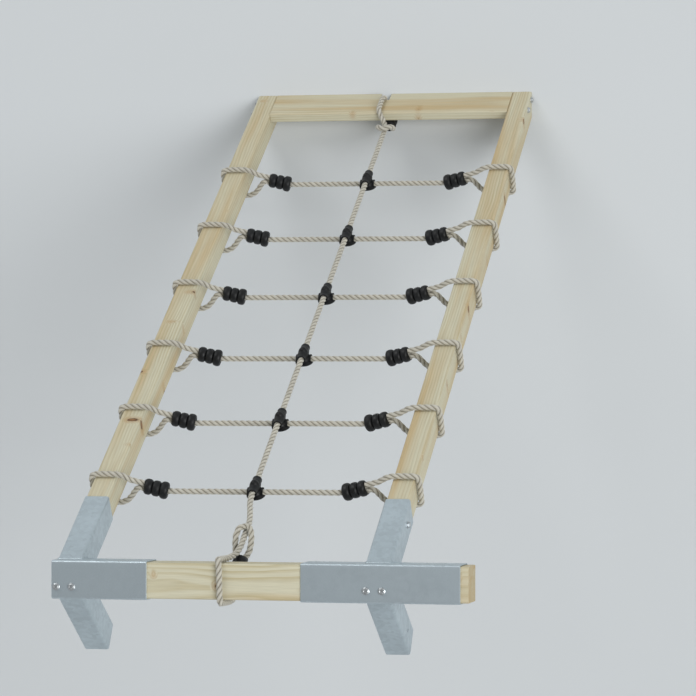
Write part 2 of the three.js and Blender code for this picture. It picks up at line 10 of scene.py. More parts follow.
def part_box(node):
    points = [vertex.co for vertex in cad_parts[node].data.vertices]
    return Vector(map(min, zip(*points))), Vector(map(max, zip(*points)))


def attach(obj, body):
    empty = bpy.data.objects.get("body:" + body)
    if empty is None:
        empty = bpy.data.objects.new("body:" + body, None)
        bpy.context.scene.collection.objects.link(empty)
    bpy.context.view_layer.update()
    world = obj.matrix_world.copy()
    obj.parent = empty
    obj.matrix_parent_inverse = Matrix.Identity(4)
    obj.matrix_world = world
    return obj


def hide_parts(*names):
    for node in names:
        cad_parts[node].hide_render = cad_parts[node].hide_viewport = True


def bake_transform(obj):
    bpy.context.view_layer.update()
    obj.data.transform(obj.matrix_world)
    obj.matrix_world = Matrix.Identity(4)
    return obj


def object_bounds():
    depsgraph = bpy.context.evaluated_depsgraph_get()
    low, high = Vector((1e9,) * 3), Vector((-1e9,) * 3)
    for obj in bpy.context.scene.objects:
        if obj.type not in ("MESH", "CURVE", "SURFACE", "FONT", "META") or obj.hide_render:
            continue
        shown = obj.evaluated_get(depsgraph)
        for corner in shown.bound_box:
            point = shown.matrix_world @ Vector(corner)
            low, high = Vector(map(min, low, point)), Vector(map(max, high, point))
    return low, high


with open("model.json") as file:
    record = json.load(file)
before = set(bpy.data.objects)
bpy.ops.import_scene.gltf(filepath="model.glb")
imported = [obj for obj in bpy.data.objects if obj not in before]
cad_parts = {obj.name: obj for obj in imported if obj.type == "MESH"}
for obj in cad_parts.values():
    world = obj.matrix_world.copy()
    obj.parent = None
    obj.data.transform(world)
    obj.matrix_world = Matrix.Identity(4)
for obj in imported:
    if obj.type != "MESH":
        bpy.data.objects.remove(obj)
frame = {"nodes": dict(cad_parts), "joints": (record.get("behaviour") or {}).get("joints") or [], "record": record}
frame_box = [list(corner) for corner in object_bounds()]

bl_info = {
    "name": "Cargo climbing net",
    "version": (1, 0, 0),
    "blender": (4, 5, 0),
    "location": "View3D > Sidebar > Climbing net",
    "description": "Builds the timbers, brackets, ropes and fittings of a leaning cargo climbing net",
    "category": "Add Mesh",
}

# ---------------------------------------------------------------- places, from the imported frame

MM = 0.001
TURN = 2 * np.pi
QUARTER = TURN / 4
X, Y, Z = np.eye(3)
INWARDS = np.array(frame["joints"][0]["axis"])
OUT = -INWARDS / np.linalg.norm(INWARDS)  # the net's outward normal
UP_SLOPE = np.cross(OUT, X)
MOUNTS = {m["name"]: np.array(m["pos_m"]) for m in frame["record"]["mounts"]}
PANEL = np.array([0.0, MOUNTS["right_foot"][1], 0.0])  # where the rails' mid-plane meets the ground
BEAM = np.array([0.0, *MOUNTS["left_beam_end"][1:]])  # the middle of the beam
BEAM_UP = float((BEAM - PANEL) @ UP_SLOPE)
COT = UP_SLOPE[1] / UP_SLOPE[2]
SIDES = (("right", 1), ("left", -1))


def node_box(name):
    """A node's lowest and highest corners as arrays."""
    low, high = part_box(name)
    return np.array(low), np.array(high)


def up_slope_of(name):
    """How far up the slope the middle of a node's box lies."""
    low, high = node_box(name)
    return float(((low + high) / 2 - PANEL) @ UP_SLOPE)


RUNG_COUNT = sum(name.startswith("rung_rope_") for name in frame["nodes"])
RUNGS = [(i, up_slope_of(f"rung_rope_{i}")) for i in range(1, RUNG_COUNT + 1)]
RUNG_ENDS = [(rung, up, side, sign) for rung, up in RUNGS for side, sign in SIDES]
RAIL_INNER, RAIL_OUTER = (float(corner[0]) for corner in node_box("right_rail"))
RAIL_MIDDLE = (RAIL_INNER + RAIL_OUTER) / 2

# Sizes that the frame's boxes don't give.
RAIL_HALF_DEPTH = 35 * MM
BOARD_BACK = 7 * MM
BOARD_TOP = 97.8 * MM
NOTCH_TOP = 17.8 * MM
NOTCH = (8 * MM, 38 * MM)
CROSSING = 8.2 * MM  # rung ropes lie this far in and the centre rope this far out
STRANDS_APART = 8.3 * MM  # half the distance between the strands of a loop at its clamp
ROUND_TIMBER = 9 * MM  # from a timber's face to the middle of a rope that lies on it
CLAMP_TO_RAIL = 103 * MM
CLAMP_LENGTH = 64 * MM
CLAMP_RIBS = (23 * MM, 21 * MM, 21 * MM)
FERRULE_LENGTH = 48 * MM
FERRULE_RIBS = (19 * MM, 19 * MM)
CLAMP_X = RAIL_INNER - CLAMP_TO_RAIL
CLAMP_TILT = np.arcsin(CROSSING / (CLAMP_LENGTH / 2))
IN_MOUTH = 9 * MM  # how far a rope runs into the mouth of its clamp
LEG_MOUTH = RUNGS[-1][1] + 92 * MM
LEG_HALF_WIDTH = 32.4 * MM
LEG_HALF_DEPTH = 38.4 * MM
SLEEVE_HALF = 48.4 * MM
SOCKET_HOLE = 248 * MM  # from the beam's middle to the hole for the rear leg's screw
HOLE_RADIUS = 4.3 * MM
COLLAR_HALF = 33 * MM  # half the length of a connector's bore for the centre rope

# Edges between faces that meet more steeply than this, in degrees, are shaded sharp.
FACET_ANGLE = 32
BARREL_ANGLE = 50
WELD_ANGLE = 60
ROPE_ANGLE = 80


def placed(start, *steps):
    """Points some steps from a start. A step is its distances and its direction."""
    distances = np.broadcast_arrays(*(np.asarray(distance, float) for distance, _ in steps))
    return start + sum(far[..., None] * way for far, (_, way) in zip(distances, steps))


def on_panel(x, up, out):
    """Points from the panel's axes: across, up the slope, outwards."""
    return placed(PANEL, (x, X), (up, UP_SLOPE), (out, OUT))


def at_beam(x, y, z):
    """Points from the level axes through the middle of the beam."""
    return placed(BEAM, (x, X), (y, Y), (z, Z))


# ---------------------------------------------------------------- settings


def linear(code):
    """An sRGB hex colour as linear RGBA."""
    srgb = np.array([int(code[i:i + 2], 16) for i in (0, 2, 4)]) / 255
    rgb = np.where(srgb <= 0.04045, srgb / 12.92, ((srgb + 0.055) / 1.055) ** 2.4)
    return (*rgb.tolist(), 1.0)


def length(name, description, default):
    """A length setting in metres."""
    return bpy.props.FloatProperty(
        name=name, description=description, default=default, precision=4, unit="LENGTH")


def colour(name, description, code):
    """A colour setting from an sRGB hex code."""
    return bpy.props.FloatVectorProperty(
        name=name, description=description, default=linear(code), size=4, subtype="COLOR", min=0, max=1)


class TimberSettings(bpy.types.PropertyGroup):
    edge_radius: length("Edge radius", "Rounding of the planed timbers' long edges", 4 * MM)
    end_softness: length("End softness", "Chamfer of the sawn ends", 1 * MM)
    ring_spacing: length("Ring spacing", "Width of one year's growth", 7 * MM)
    knot_spacing: length("Knot spacing", "Distance between knots along a timber", 210 * MM)
    early_colour: colour("Early wood", "Pale wood between the growth rings", "D0CBB2")
    late_colour: colour("Late wood", "Darker line of each growth ring", "B4A67E")
    heart_colour: colour("Heartwood", "Warmer tone in broad streaks", "C6B087")
    knot_colour: colour("Knot", "Dark rim of a knot", "57391F")


class SteelSettings(bpy.types.PropertyGroup):
    wall: length("Wall", "Thickness of the bracket's sheet steel", 3 * MM)
    corner_radius: length("Corner radius", "Outer radius of the folded sleeves' corners", 6 * MM)
    weld_radius: length("Weld radius", "Half the width of the weld beads", 3 * MM)
    spangle: length("Spangle", "Size of the zinc's crystals", 11 * MM)
    steel_colour: colour("Galvanised steel", "Light blue-grey zinc coat", "C4D0D6")
    screw_colour: colour("Plated screws", "Bright zinc plating", "C9CDCF")


class RopeSettings(bpy.types.PropertyGroup):
    diameter: length("Diameter", "Over the three strands", 16 * MM)
    lay: length("Lay", "Length in which a strand goes once round the rope", 52 * MM)
    yarn: length("Yarn", "Width of one yarn on the surface", 1.6 * MM)
    rope_colour: colour("Rope", "Light beige hemp-look fibre", "CAC6B9")
    # The groove colour is painted shade: the darker fibre between the strands stands for the shade that the
    # strands cast into their grooves.
    groove_shade_colour: colour("Groove", "Shaded, dusty fibre between the strands", "756D5B")


class PlasticSettings(bpy.types.PropertyGroup):
    groove: bpy.props.FloatProperty(
        name="Groove", description="Radius between the ribs as a share of the ribs' radius",
        default=0.67, min=0.5, max=1)
    seam: length("Seam", "Height of the mould seam", 0.35 * MM)
    grain: length("Grain", "Size of the moulded grain", 0.9 * MM)
    plastic_colour: colour("Plastic", "Black moulded nylon", "0D0E0F")


class StageSettings(bpy.types.PropertyGroup):
    camera_place: bpy.props.FloatVectorProperty(
        name="Camera", description="High above the ground beside the net", size=3,
        default=(-2.265, 0.776, 10.73), subtype="XYZ", unit="LENGTH")
    lens: bpy.props.FloatProperty(
        name="Lens", description="Focal length in millimetres", default=186, min=20)
    key_power: bpy.props.FloatProperty(
        name="Key light", description="Power of the large soft light in watts", default=1850, min=0)
    fill_power: bpy.props.FloatProperty(
        name="Fill light", description="Power of the low side light in watts", default=750, min=0)
    sky: bpy.props.FloatProperty(
        name="Sky", description="Strength of the even light from all round", default=0.62, min=0)
    floor_colour: colour("Floor", "Plain pale floor", "D3D7D9")


class NetSettings(bpy.types.PropertyGroup):
    timber: bpy.props.PointerProperty(type=TimberSettings, name="Timber", description="Planed pine")
    steel: bpy.props.PointerProperty(type=SteelSettings, name="Steel", description="Brackets and screws")
    rope: bpy.props.PointerProperty(type=RopeSettings, name="Rope", description="Laid rope")
    plastic: bpy.props.PointerProperty(type=PlasticSettings, name="Plastic", description="Mouldings")
    stage: bpy.props.PointerProperty(type=StageSettings, name="Stage", description="Floor and light")


# ---------------------------------------------------------------- surfaces


def whole_turn(sides):
    """Angles once round, evenly spaced."""
    return np.linspace(0, TURN, sides, endpoint=False)


def columns(table):
    """The columns of a table, each upright, so that a row of the table becomes a ring of a grid."""
    return np.asarray(table, float).T[:, :, None]


def turned(middle, first, second, radius, angle):
    """Points round a middle: the radius away from it, in the direction cos first + sin second."""
    return placed(middle, (radius * np.cos(angle), first), (radius * np.sin(angle), second))


def hexagon(angle):
    """A hexagon's reach over its corner radius: cos 30 degrees over the cosine of the angle from the
    nearest flat's middle."""
    return np.cos(TURN / 12) / np.cos((angle + TURN / 12) % (TURN / 6) - TURN / 12)


def closed_surface(grid, ring_loop=False, **attributes):
    """A closed surface from a grid of points, rings by sides, with its faces outwards.
    The sides close round on themselves. The rings close too where ring_loop is set, as on a torus,
    and otherwise each end ring closes in a fan on its own mean point."""
    rings, sides = grid.shape[:2]

    def corner(ring, side):
        return (ring % rings) * sides + side % sides

    ring, side = np.meshgrid(np.arange(rings if ring_loop else rings - 1), np.arange(sides), indexing="ij")
    quads = np.stack([corner(ring, side), corner(ring, side + 1),
                      corner(ring + 1, side + 1), corner(ring + 1, side)], -1).reshape(-1, 4)
    around = np.arange(sides)
    low, high = np.full(sides, rings * sides), np.full(sides, rings * sides + 1)
    fans = np.concatenate([
        np.stack([corner(0, around + 1), corner(0, around), low], -1),
        np.stack([corner(rings - 1, around), corner(rings - 1, around + 1), high], -1)])
    fans = fans[:0] if ring_loop else fans

    def flat(values):
        values = np.broadcast_to(values, (rings, sides, values.shape[-1]))
        poles = values[:0, 0] if ring_loop else np.stack([values[0].mean(0), values[-1].mean(0)])
        return np.concatenate([values.reshape(-1, values.shape[-1]), poles])

    points = flat(grid)
    corners = points[np.concatenate([quads[:, :3], quads[:, [0, 2, 3]], fans])]
    volume = np.einsum("ij,ij->", corners[:, 0], np.cross(corners[:, 1], corners[:, 2]))
    if volume < 0:
        quads, fans = quads[:, ::-1], fans[:, ::-1]
    return {"points": points, "quads": quads, "fans": fans,
            "attributes": {name: flat(values) for name, values in attributes.items()}}


def make_mesh(name, surfaces, facet_angle=FACET_ANGLE):
    """One smooth-shaded mesh from closed surfaces, with sharp edges where its faces meet steeply."""
    starts = np.cumsum([0] + [len(s["points"]) for s in surfaces])
    points = np.concatenate([s["points"] for s in surfaces])
    quads = np.concatenate([s["quads"] + start for s, start in zip(surfaces, starts)])
    fans = np.concatenate([s["fans"] + start for s, start in zip(surfaces, starts)])
    corners = np.concatenate([quads.ravel(), fans.ravel()])
    sizes = np.concatenate([np.full(len(quads), 4), np.full(len(fans), 3)])
    mesh = bpy.data.meshes.new(name)
    mesh.vertices.add(len(points))
    mesh.vertices.foreach_set("co", points.astype(np.float32).ravel())
    mesh.loops.add(len(corners))
    mesh.loops.foreach_set("vertex_index", corners.astype(np.int32))
    mesh.polygons.add(len(sizes))
    mesh.polygons.foreach_set("loop_start", (np.cumsum(sizes) - sizes).astype(np.int32))
    for key in surfaces[0]["attributes"]:
        values = np.concatenate([s["attributes"][key] for s in surfaces]).astype(np.float32)
        kind, field = ("FLOAT_VECTOR", "vector") if values.shape[1] == 3 else ("FLOAT", "value")
        mesh.attributes.new(key, kind, "POINT").data.foreach_set(field, values.ravel())
    mesh.update(calc_edges=True)
    mesh.validate()
    mesh.polygons.foreach_set("use_smooth", np.ones(len(mesh.polygons), bool))
    mesh.set_sharp_from_angle(angle=radians(facet_angle))
    return mesh


def make_piece(name, surfaces, slot, body, nodes, facet_angle=FACET_ANGLE):
    """One object from closed surfaces, in its slot's finish. It rides on a body and stands for nodes."""
    mesh = make_mesh(name, surfaces, facet_angle)
    mesh.materials.append(finish(slot))
    piece = bpy.data.objects.new(name, mesh)
    bpy.context.scene.collection.objects.link(piece)
    if body:
        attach(piece, body)
    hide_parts(*nodes)
    return piece


def rounded_outline(half_a, half_b, radius, side_steps=8):
    """Points round a rectangle with rounded corners, each straight side divided evenly."""
    corner_steps = 5
    middles = np.array([[1, -1], [1, 1], [-1, 1], [-1, -1]]) * [half_a - radius, half_b - radius]
    angle = QUARTER * (np.linspace(-1, 0, corner_steps + 1) + np.arange(4)[:, None])
    arcs = middles[:, None] + radius * np.stack([np.cos(angle), np.sin(angle)], -1)
    share = np.linspace(0, 1, side_steps + 1)[1:-1, None]
    sides = arcs[:, -1:] + share * (np.roll(arcs, -1, 0)[:, :1] - arcs[:, -1:])
    return np.concatenate([arcs, sides], 1).reshape(-1, 2)


def smooth_route(points, step):
    """A centripetal Catmull-Rom curve through the points, at even steps of length. Each span is the
    cubic whose end slopes come from the square roots of the distances to the neighbouring points."""
    points = np.asarray(points, float)
    p = np.vstack([2 * points[0] - points[1], points, 2 * points[-1] - points[-2]])
    gap = np.sqrt(np.linalg.norm(np.diff(p, axis=0), axis=1))[:, None]
    before, here, there, after = p[:-3], p[1:-2], p[2:-1], p[3:]
    g0, g1, g2 = gap[:-2], gap[1:-1], gap[2:]
    leave = ((here - before) / g0 - (there - before) / (g0 + g1) + (there - here) / g1) * g1
    arrive = ((there - here) / g1 - (after - here) / (g1 + g2) + (after - there) / g2) * g1
    t = np.linspace(0, 1, 32, endpoint=False)[None, :, None]
    here, there, leave, arrive = (v[:, None] for v in (here, there, leave, arrive))
    spans = (here + leave * t + (3 * (there - here) - 2 * leave - arrive) * t ** 2
             + (2 * (here - there) + leave + arrive) * t ** 3)
    return even_steps(np.vstack([spans.reshape(-1, 3), points[-1]]), step)


def even_steps(line, step):
    """A polyline resampled at even steps of its length."""
    along = np.concatenate([[0], np.cumsum(np.linalg.norm(np.diff(line, axis=0), axis=1))])
    stops = np.linspace(0, along[-1], max(2, round(along[-1] / step)) + 1)
    return np.stack([np.interp(stops, along, line[:, axis]) for axis in range(3)], -1)


def across_route(route, reference):
    """Two unit vectors at right angles to a route: the reference made square to it, and its cross."""
    along = np.gradient(route, axis=0)
    along /= np.linalg.norm(along, axis=1, keepdims=True)
    first = reference - (along @ reference)[:, None] * along
    first /= np.linalg.norm(first, axis=1, keepdims=True)
    return first, np.cross(along, first)


def laid_rope(points, reference, settings):
    """Three strands laid together along a route. Round the axis the surface lies at
    b cos d + sqrt(a a - b b sin d sin d), the outline of three circles of radius a whose middles lie
    b from the axis, where d is the angle from the nearest strand. The outline turns once in each lay."""
    sides, between, step = 30, TURN / 3, 1.6 * MM
    radius = settings.diameter / 2
    off_axis, strand = 0.375 * radius, 0.625 * radius
    route = smooth_route(points, step)
    first, second = across_route(route, reference)
    along = np.linspace(0, np.linalg.norm(np.diff(route, axis=0), axis=1).sum(), len(route))[:, None]
    phase = whole_turn(sides)
    from_strand = (phase + between / 2) % between - between / 2
    reach = off_axis * np.cos(from_strand) + np.sqrt(strand ** 2 - (off_axis * np.sin(from_strand)) ** 2)
    angle = phase + TURN * along / settings.lay
    groove = (radius - reach) / (radius - reach.min())
    yarn = placed(np.zeros(3), (radius * np.cos(angle), X), (radius * np.sin(angle), Y), (along, Z))
    grid = turned(route[:, None], first[:, None], second[:, None], reach, angle)
    return closed_surface(grid, yarn=yarn, groove=groove[None, :, None])


def wood_grain(along, a, b, pith, shift):
    """The grain's own coordinates: along the log, away from its pith, and round the pith at 60 mm."""
    from_pith = a - pith[0], b - pith[1]
    round_pith = 60 * MM * np.arctan2(*from_pith[::-1])
    return np.stack(np.broadcast_arrays(along + shift, np.hypot(*from_pith), round_pith), -1)


def timber(half_a, half_b, low, high, place, pith, shift, settings):
    """A planed bar: a rounded rectangle carried from low to high, with softened ends. Low and high
    take a point's second coordinate, and place turns (a, b, along) into points of the object."""
    ring_step = 40 * MM
    outline = rounded_outline(half_a, half_b, settings.edge_radius)
    soft = settings.end_softness
    inset = outline * (1 - soft / np.array([half_a, half_b]))
    low, high = (np.broadcast_to(end(outline[:, 1]), len(outline)) for end in (low, high))
    share = np.linspace(0, 1, round((high.max() - low.min()) / ring_step))[:, None]
    along = np.vstack([low, low + soft + share * (high - low - 2 * soft), high])
    ends = np.zeros((len(along), 1, 1))
    ends[[0, -1]] = 1
    a, b = np.where(ends > 0, inset, outline).transpose(2, 0, 1)
    return closed_surface(place(a, b, along), wood=wood_grain(along, a, b, pith, shift), end_grain=ends)


# ---------------------------------------------------------------- materials


def add(tree, kind, inputs=(), **settings):
    """One shader node: its settings by name, and its inputs by name or in the order in which it shows
    them. An input is a value, a socket, or a node, which stands for the first output that it shows."""
    node = tree.nodes.new("ShaderNode" + kind)
    for key, value in settings.items():
        setattr(node, key, value)
    if isinstance(inputs, dict):
        sockets, values = [node.inputs[key] for key in inputs], inputs.values()
    else:
        sockets, values = [socket for socket in node.inputs if socket.enabled], inputs
    for socket, value in zip(sockets, values):
        if isinstance(value, bpy.types.Node):
            value = next(output for output in value.outputs if output.enabled)
        if isinstance(value, bpy.types.NodeSocket):
            tree.links.new(value, socket)
        else:
            socket.default_value = value
    return node


# Each finish takes its settings and a function that adds a node. It returns the shader's inputs.
# Map Range takes a value, the range that it comes from and the range that it goes to.


def planed_pine(settings, node):
    """Planed, untreated pine: pale sapwood with soft darker growth rings, broad warm streaks of
    heartwood and small brown knots that the grain flows round. Dull, with raised late wood."""
    grain = node("Attribute", attribute_name="wood").outputs["Vector"]
    end = node("Attribute", attribute_name="end_grain").outputs["Fac"]
    along, from_pith, round_pith = node("SeparateXYZ", [grain]).outputs
    slow = node("VectorMath", (grain, (2.2, 11, 11)), operation="MULTIPLY")
    wander = node("TexNoise", {"Vector": slow, "Scale": 1.0, "Detail": 3.0})
    # Knots: one cell of a stretched pattern each, measured back in metres from its middle.
    cell = settings.knot_spacing, 90 * MM
    face = node("CombineXYZ", (along, round_pith))
    cells = node("VectorMath", (face, (1 / cell[0], 1 / cell[1], 0)), operation="MULTIPLY")
    seeds = node("TexVoronoi", {"Vector": cells, "Scale": 1.0, "Randomness": 0.55}, voronoi_dimensions="2D")
    apart = node("VectorMath", (cells, seeds.outputs["Position"]), operation="SUBTRACT")
    offset = node("VectorMath", (apart, (*cell, 0)), operation="MULTIPLY")
    distance = node("VectorMath", [offset], operation="LENGTH")
    chance = node("SeparateColor", [seeds.outputs["Color"]])
    size = node("MapRange", (chance, 0.2, 1, -1 * MM, 8.5 * MM))
    edge = node("TexNoise", {"Vector": grain, "Scale": 130.0, "Detail": 2.0})
    ragged = node("Math", (edge, 4 * MM, distance), operation="MULTIPLY_ADD")
    inside = node("Math", (size, ragged), operation="SUBTRACT")
    knot = node("MapRange", (inside, -3 * MM, -0.5 * MM), interpolation_type="SMOOTHSTEP")
    halo = node("MapRange", (inside, -17 * MM, -2 * MM), interpolation_type="SMOOTHSTEP")
    # Growth rings: the distance from the pith, bent by the wander and pushed out round each knot.
    bent = node("Math", (wander, 22 * MM, from_pith), operation="MULTIPLY_ADD")
    pushed = node("Math", (halo, 12 * MM, bent), operation="MULTIPLY_ADD")
    years = node("Math", (pushed, 1 / settings.ring_spacing), operation="MULTIPLY")
    late = node("ValToRGB", [node("Math", [years], operation="FRACT")])
    ramp, black, white = late.color_ramp.elements, (0, 0, 0, 1), (1, 1, 1, 1)
    ramp[0].position, ramp[0].color = 0.3, black
    ramp[1].position, ramp[1].color = 0.86, white
    ramp.new(1.0).color = black
    strength = node("MapRange", (wander, 0.3, 0.7, 0.25, 0.8))
    rings = node("Math", (late, strength), operation="MULTIPLY")
    # Fibres: streaks along the grain, 60 mm long. Real ones are a thirtieth of a millimetre wide, and
    # these are drawn a millimetre and a half wide, so that they show.
    fibre_at = node("VectorMath", (grain, (16, 650, 650)), operation="MULTIPLY")
    fibre = node("TexNoise", {"Vector": fibre_at, "Scale": 1.0, "Detail": 4.0})
    tone_at = node("VectorMath", (grain, (1.4, 30, 14)), operation="MULTIPLY")
    tone = node("TexNoise", {"Vector": tone_at, "Scale": 1.0, "Detail": 2.0})
    warm = node("MapRange", (tone, 0.44, 0.7))
    base = node("Mix", (warm, settings.early_colour, settings.heart_colour), data_type="RGBA")
    ringed = node("Mix", (rings, base, settings.late_colour), data_type="RGBA")
    shade = node("MapRange", (fibre, 0.3, 0.7, 0.9, 1.05))
    fibred = node("VectorMath", (ringed, shade), operation="SCALE")
    halo_tint = node("Math", (halo, 0.42), operation="MULTIPLY")
    haloed = node("Mix", (halo_tint, fibred, linear("AE834C")), data_type="RGBA")
    bark = node("MapRange", (inside, 2.4 * MM, -0.5 * MM))
    core = node("Mix", (bark, linear("936D47"), settings.knot_colour), data_type="RGBA")
    knotted = node("Mix", (knot, haloed, core), data_type="RGBA")
    end_tint = node("Math", (end, 0.45), operation="MULTIPLY")
    ended = node("Mix", (end_tint, knotted, linear("A88F5E")), data_type="RGBA")
    rough = node("MapRange", (fibre, 0, 1, 0.56, 0.72))
    relief = node("Math", (rings, 0.5, fibre), operation="MULTIPLY_ADD")
    bump = node("Bump", {"Height": relief, "Strength": 0.35, "Distance": 0.5 * MM})
    return {"Base Color": ended, "Roughness": rough, "IOR": 1.45, "Normal": bump}


def galvanised_steel(settings, node):
    """Welded sheet steel, hot-dip galvanised: a light blue-grey coat of flat crystals that differ a
    little in tone and gloss, with a rippled surface. The ripples are drawn 4 mm apart, several times
    as coarse as real ones, so that they show."""
    place = node("TexCoord").outputs["Object"]
    crystals = node("TexVoronoi", {"Vector": place, "Scale": 1 / settings.spangle})
    tone = node("SeparateColor", [crystals.outputs["Color"]])
    cloud = node("TexNoise", {"Vector": place, "Scale": 9.0, "Detail": 5.0})
    mixed = node("Math", (tone, 0.4, cloud), operation="MULTIPLY_ADD")
    shade = node("MapRange", (mixed, 0.3, 1.1, 0.84, 1.06))
    tint = node("VectorMath", (settings.steel_colour[:3], shade), operation="SCALE")
    rough = node("MapRange", (mixed, 0.3, 1.1, 0.52, 0.36))
    ripple = node("TexNoise", {"Vector": place, "Scale": 240.0, "Detail": 3.0})
    bump = node("Bump", {"Height": ripple, "Strength": 0.25, "Distance": 0.4 * MM})
    return {"Base Color": tint, "Roughness": rough, "Metallic": 0.85, "Normal": bump}


def zinc_plated_steel(settings, node):
    """Bright zinc plated steel screws: a smooth thin coat, a little cloudy."""
    place = node("TexCoord").outputs["Object"]
    cloud = node("TexNoise", {"Vector": place, "Scale": 160.0, "Detail": 3.0})
    shade = node("MapRange", (cloud, 0, 1, 0.8, 1.1))
    tint = node("VectorMath", (settings.screw_colour[:3], shade), operation="SCALE")
    rough = node("MapRange", (cloud, 0, 1, 0.22, 0.42))
    return {"Base Color": tint, "Roughness": rough, "Metallic": 1.0}


def hemp_look_rope(settings, node):
    """Three-strand laid rope of spun polypropylene: matt, hairy beige fibre, light on the crowns of
    the strands, with painted shade in the grooves. The yarns run nearly along the rope. Real ones are half a
    millimetre wide, and these are about three times as coarse, so that they show."""
    yarn = node("Attribute", attribute_name="yarn").outputs["Vector"]
    groove = node("Attribute", attribute_name="groove").outputs["Fac"]
    across = 1 / settings.yarn
    yarns_at = node("VectorMath", (yarn, (across, across, 28)), operation="MULTIPLY")
    yarns = node("TexNoise", {"Vector": yarns_at, "Scale": 1.0, "Detail": 3.0})
    patches = node("TexNoise", {"Vector": yarn, "Scale": 22.0, "Detail": 3.0})
    # Painted shade: the colour darkens towards the darker groove colour with the depth of the groove between the
    # strands.
    deep = node("Math", (groove, 1.6), operation="POWER")
    base = node("Mix", (deep, settings.rope_colour, settings.groove_shade_colour), data_type="RGBA")
    both = node("Math", (patches, 0.6, yarns), operation="MULTIPLY_ADD")
    shade = node("MapRange", (both, 0.45, 1.15, 0.68, 1.16))
    tint = node("VectorMath", (base, shade), operation="SCALE")
    bump = node("Bump", {"Height": yarns, "Strength": 0.7, "Distance": 0.8 * MM})
    return {"Base Color": tint, "Roughness": 0.85, "Sheen Weight": 0.25, "Sheen Roughness": 0.5,
            "Normal": bump}


def moulded_nylon(settings, node):
    """Injection-moulded black nylon: satin, with a spark-eroded grain, a little greyer where hands
    and weather have dulled it. The real grain is under a tenth of a millimetre, too fine to show, and
    is drawn about ten times as coarse."""
    place = node("TexCoord").outputs["Object"]
    grain = node("TexNoise", {"Vector": place, "Scale": 1 / settings.grain, "Detail": 2.0})
    dull = node("TexNoise", {"Vector": place, "Scale": 45.0, "Detail": 4.0})
    worn = node("MapRange", (dull, 0.4, 0.75, 0, 0.35))
    tint = node("Mix", (worn, settings.plastic_colour, linear("1D1F21")), data_type="RGBA")
    rough = node("MapRange", (dull, 0.3, 0.7, 0.38, 0.56))
    bump = node("Bump", {"Height": grain, "Strength": 0.3, "Distance": 0.25 * MM})
    return {"Base Color": tint, "Roughness": rough, "IOR": 1.52, "Specular IOR Level": 0.32,
            "Normal": bump}


def painted_floor(settings, node):
    """A plain matt studio floor, very slightly uneven in tone."""
    cloud = node("TexNoise", {"Vector": node("TexCoord").outputs["Object"], "Scale": 0.7, "Detail": 2.0})
    shade = node("MapRange", (cloud, 0, 1, 0.98, 1.02))
    tint = node("VectorMath", (settings.floor_colour[:3], shade), operation="SCALE")
    return {"Base Color": tint, "Roughness": 0.9}


FINISHES = {  # by slot: the material's name, the function that gives its look, and its settings
    "pine": ("Planed pine", planed_pine, "timber"),
    "zinc_steel": ("Galvanised steel", galvanised_steel, "steel"),
    "zinc_screw": ("Zinc plated steel", zinc_plated_steel, "steel"),
    "rope": ("Laid hemp-look rope", hemp_look_rope, "rope"),
    "black_plastic": ("Moulded black nylon", moulded_nylon, "plastic"),
    "floor": ("Matt studio floor", painted_floor, "stage"),
}


def finish(slot):
    """The material of a slot, made the first time that a piece asks for it."""
    name, look, group = FINISHES[slot]
    if name not in bpy.data.materials:
        material = bpy.data.materials.new(name)
        material.use_nodes = True
        material.node_tree.nodes.clear()
        node = partial(add, material.node_tree)
        settings = getattr(bpy.context.scene.climbing_net, group)
        node("OutputMaterial", [node("BsdfPrincipled", look(settings, node))])
    return bpy.data.materials[name]


# ---------------------------------------------------------------- timbers


class CLIMBING_NET_OT_rails(bpy.types.Operator):
    """Adds the two planed side rails, cut level at the ground"""
    bl_idname = "climbing_net.rails"
    bl_label = "Side rails"

    def execute(self, context):
        half_width = (RAIL_OUTER - RAIL_INNER) / 2
        top = (node_box("right_rail")[1][2] - RAIL_HALF_DEPTH * OUT[2]) / UP_SLOPE[2]
        piths, shifts = ((50 * MM, 70 * MM), (-60 * MM, 62 * MM)), (0.0, 3.1)
        for (side, sign), pith, shift in zip(SIDES, piths, shifts):
            bar = timber(half_width, RAIL_HALF_DEPTH, lambda out: -out * COT, lambda out: top,
                         lambda a, b, along: on_panel(sign * RAIL_MIDDLE + a, along, b),
                         pith, shift, context.scene.climbing_net.timber)
            make_piece(f"{side}_rail_timber", [bar], "pine", "frame", [f"{side}_rail"])
        return {"FINISHED"}


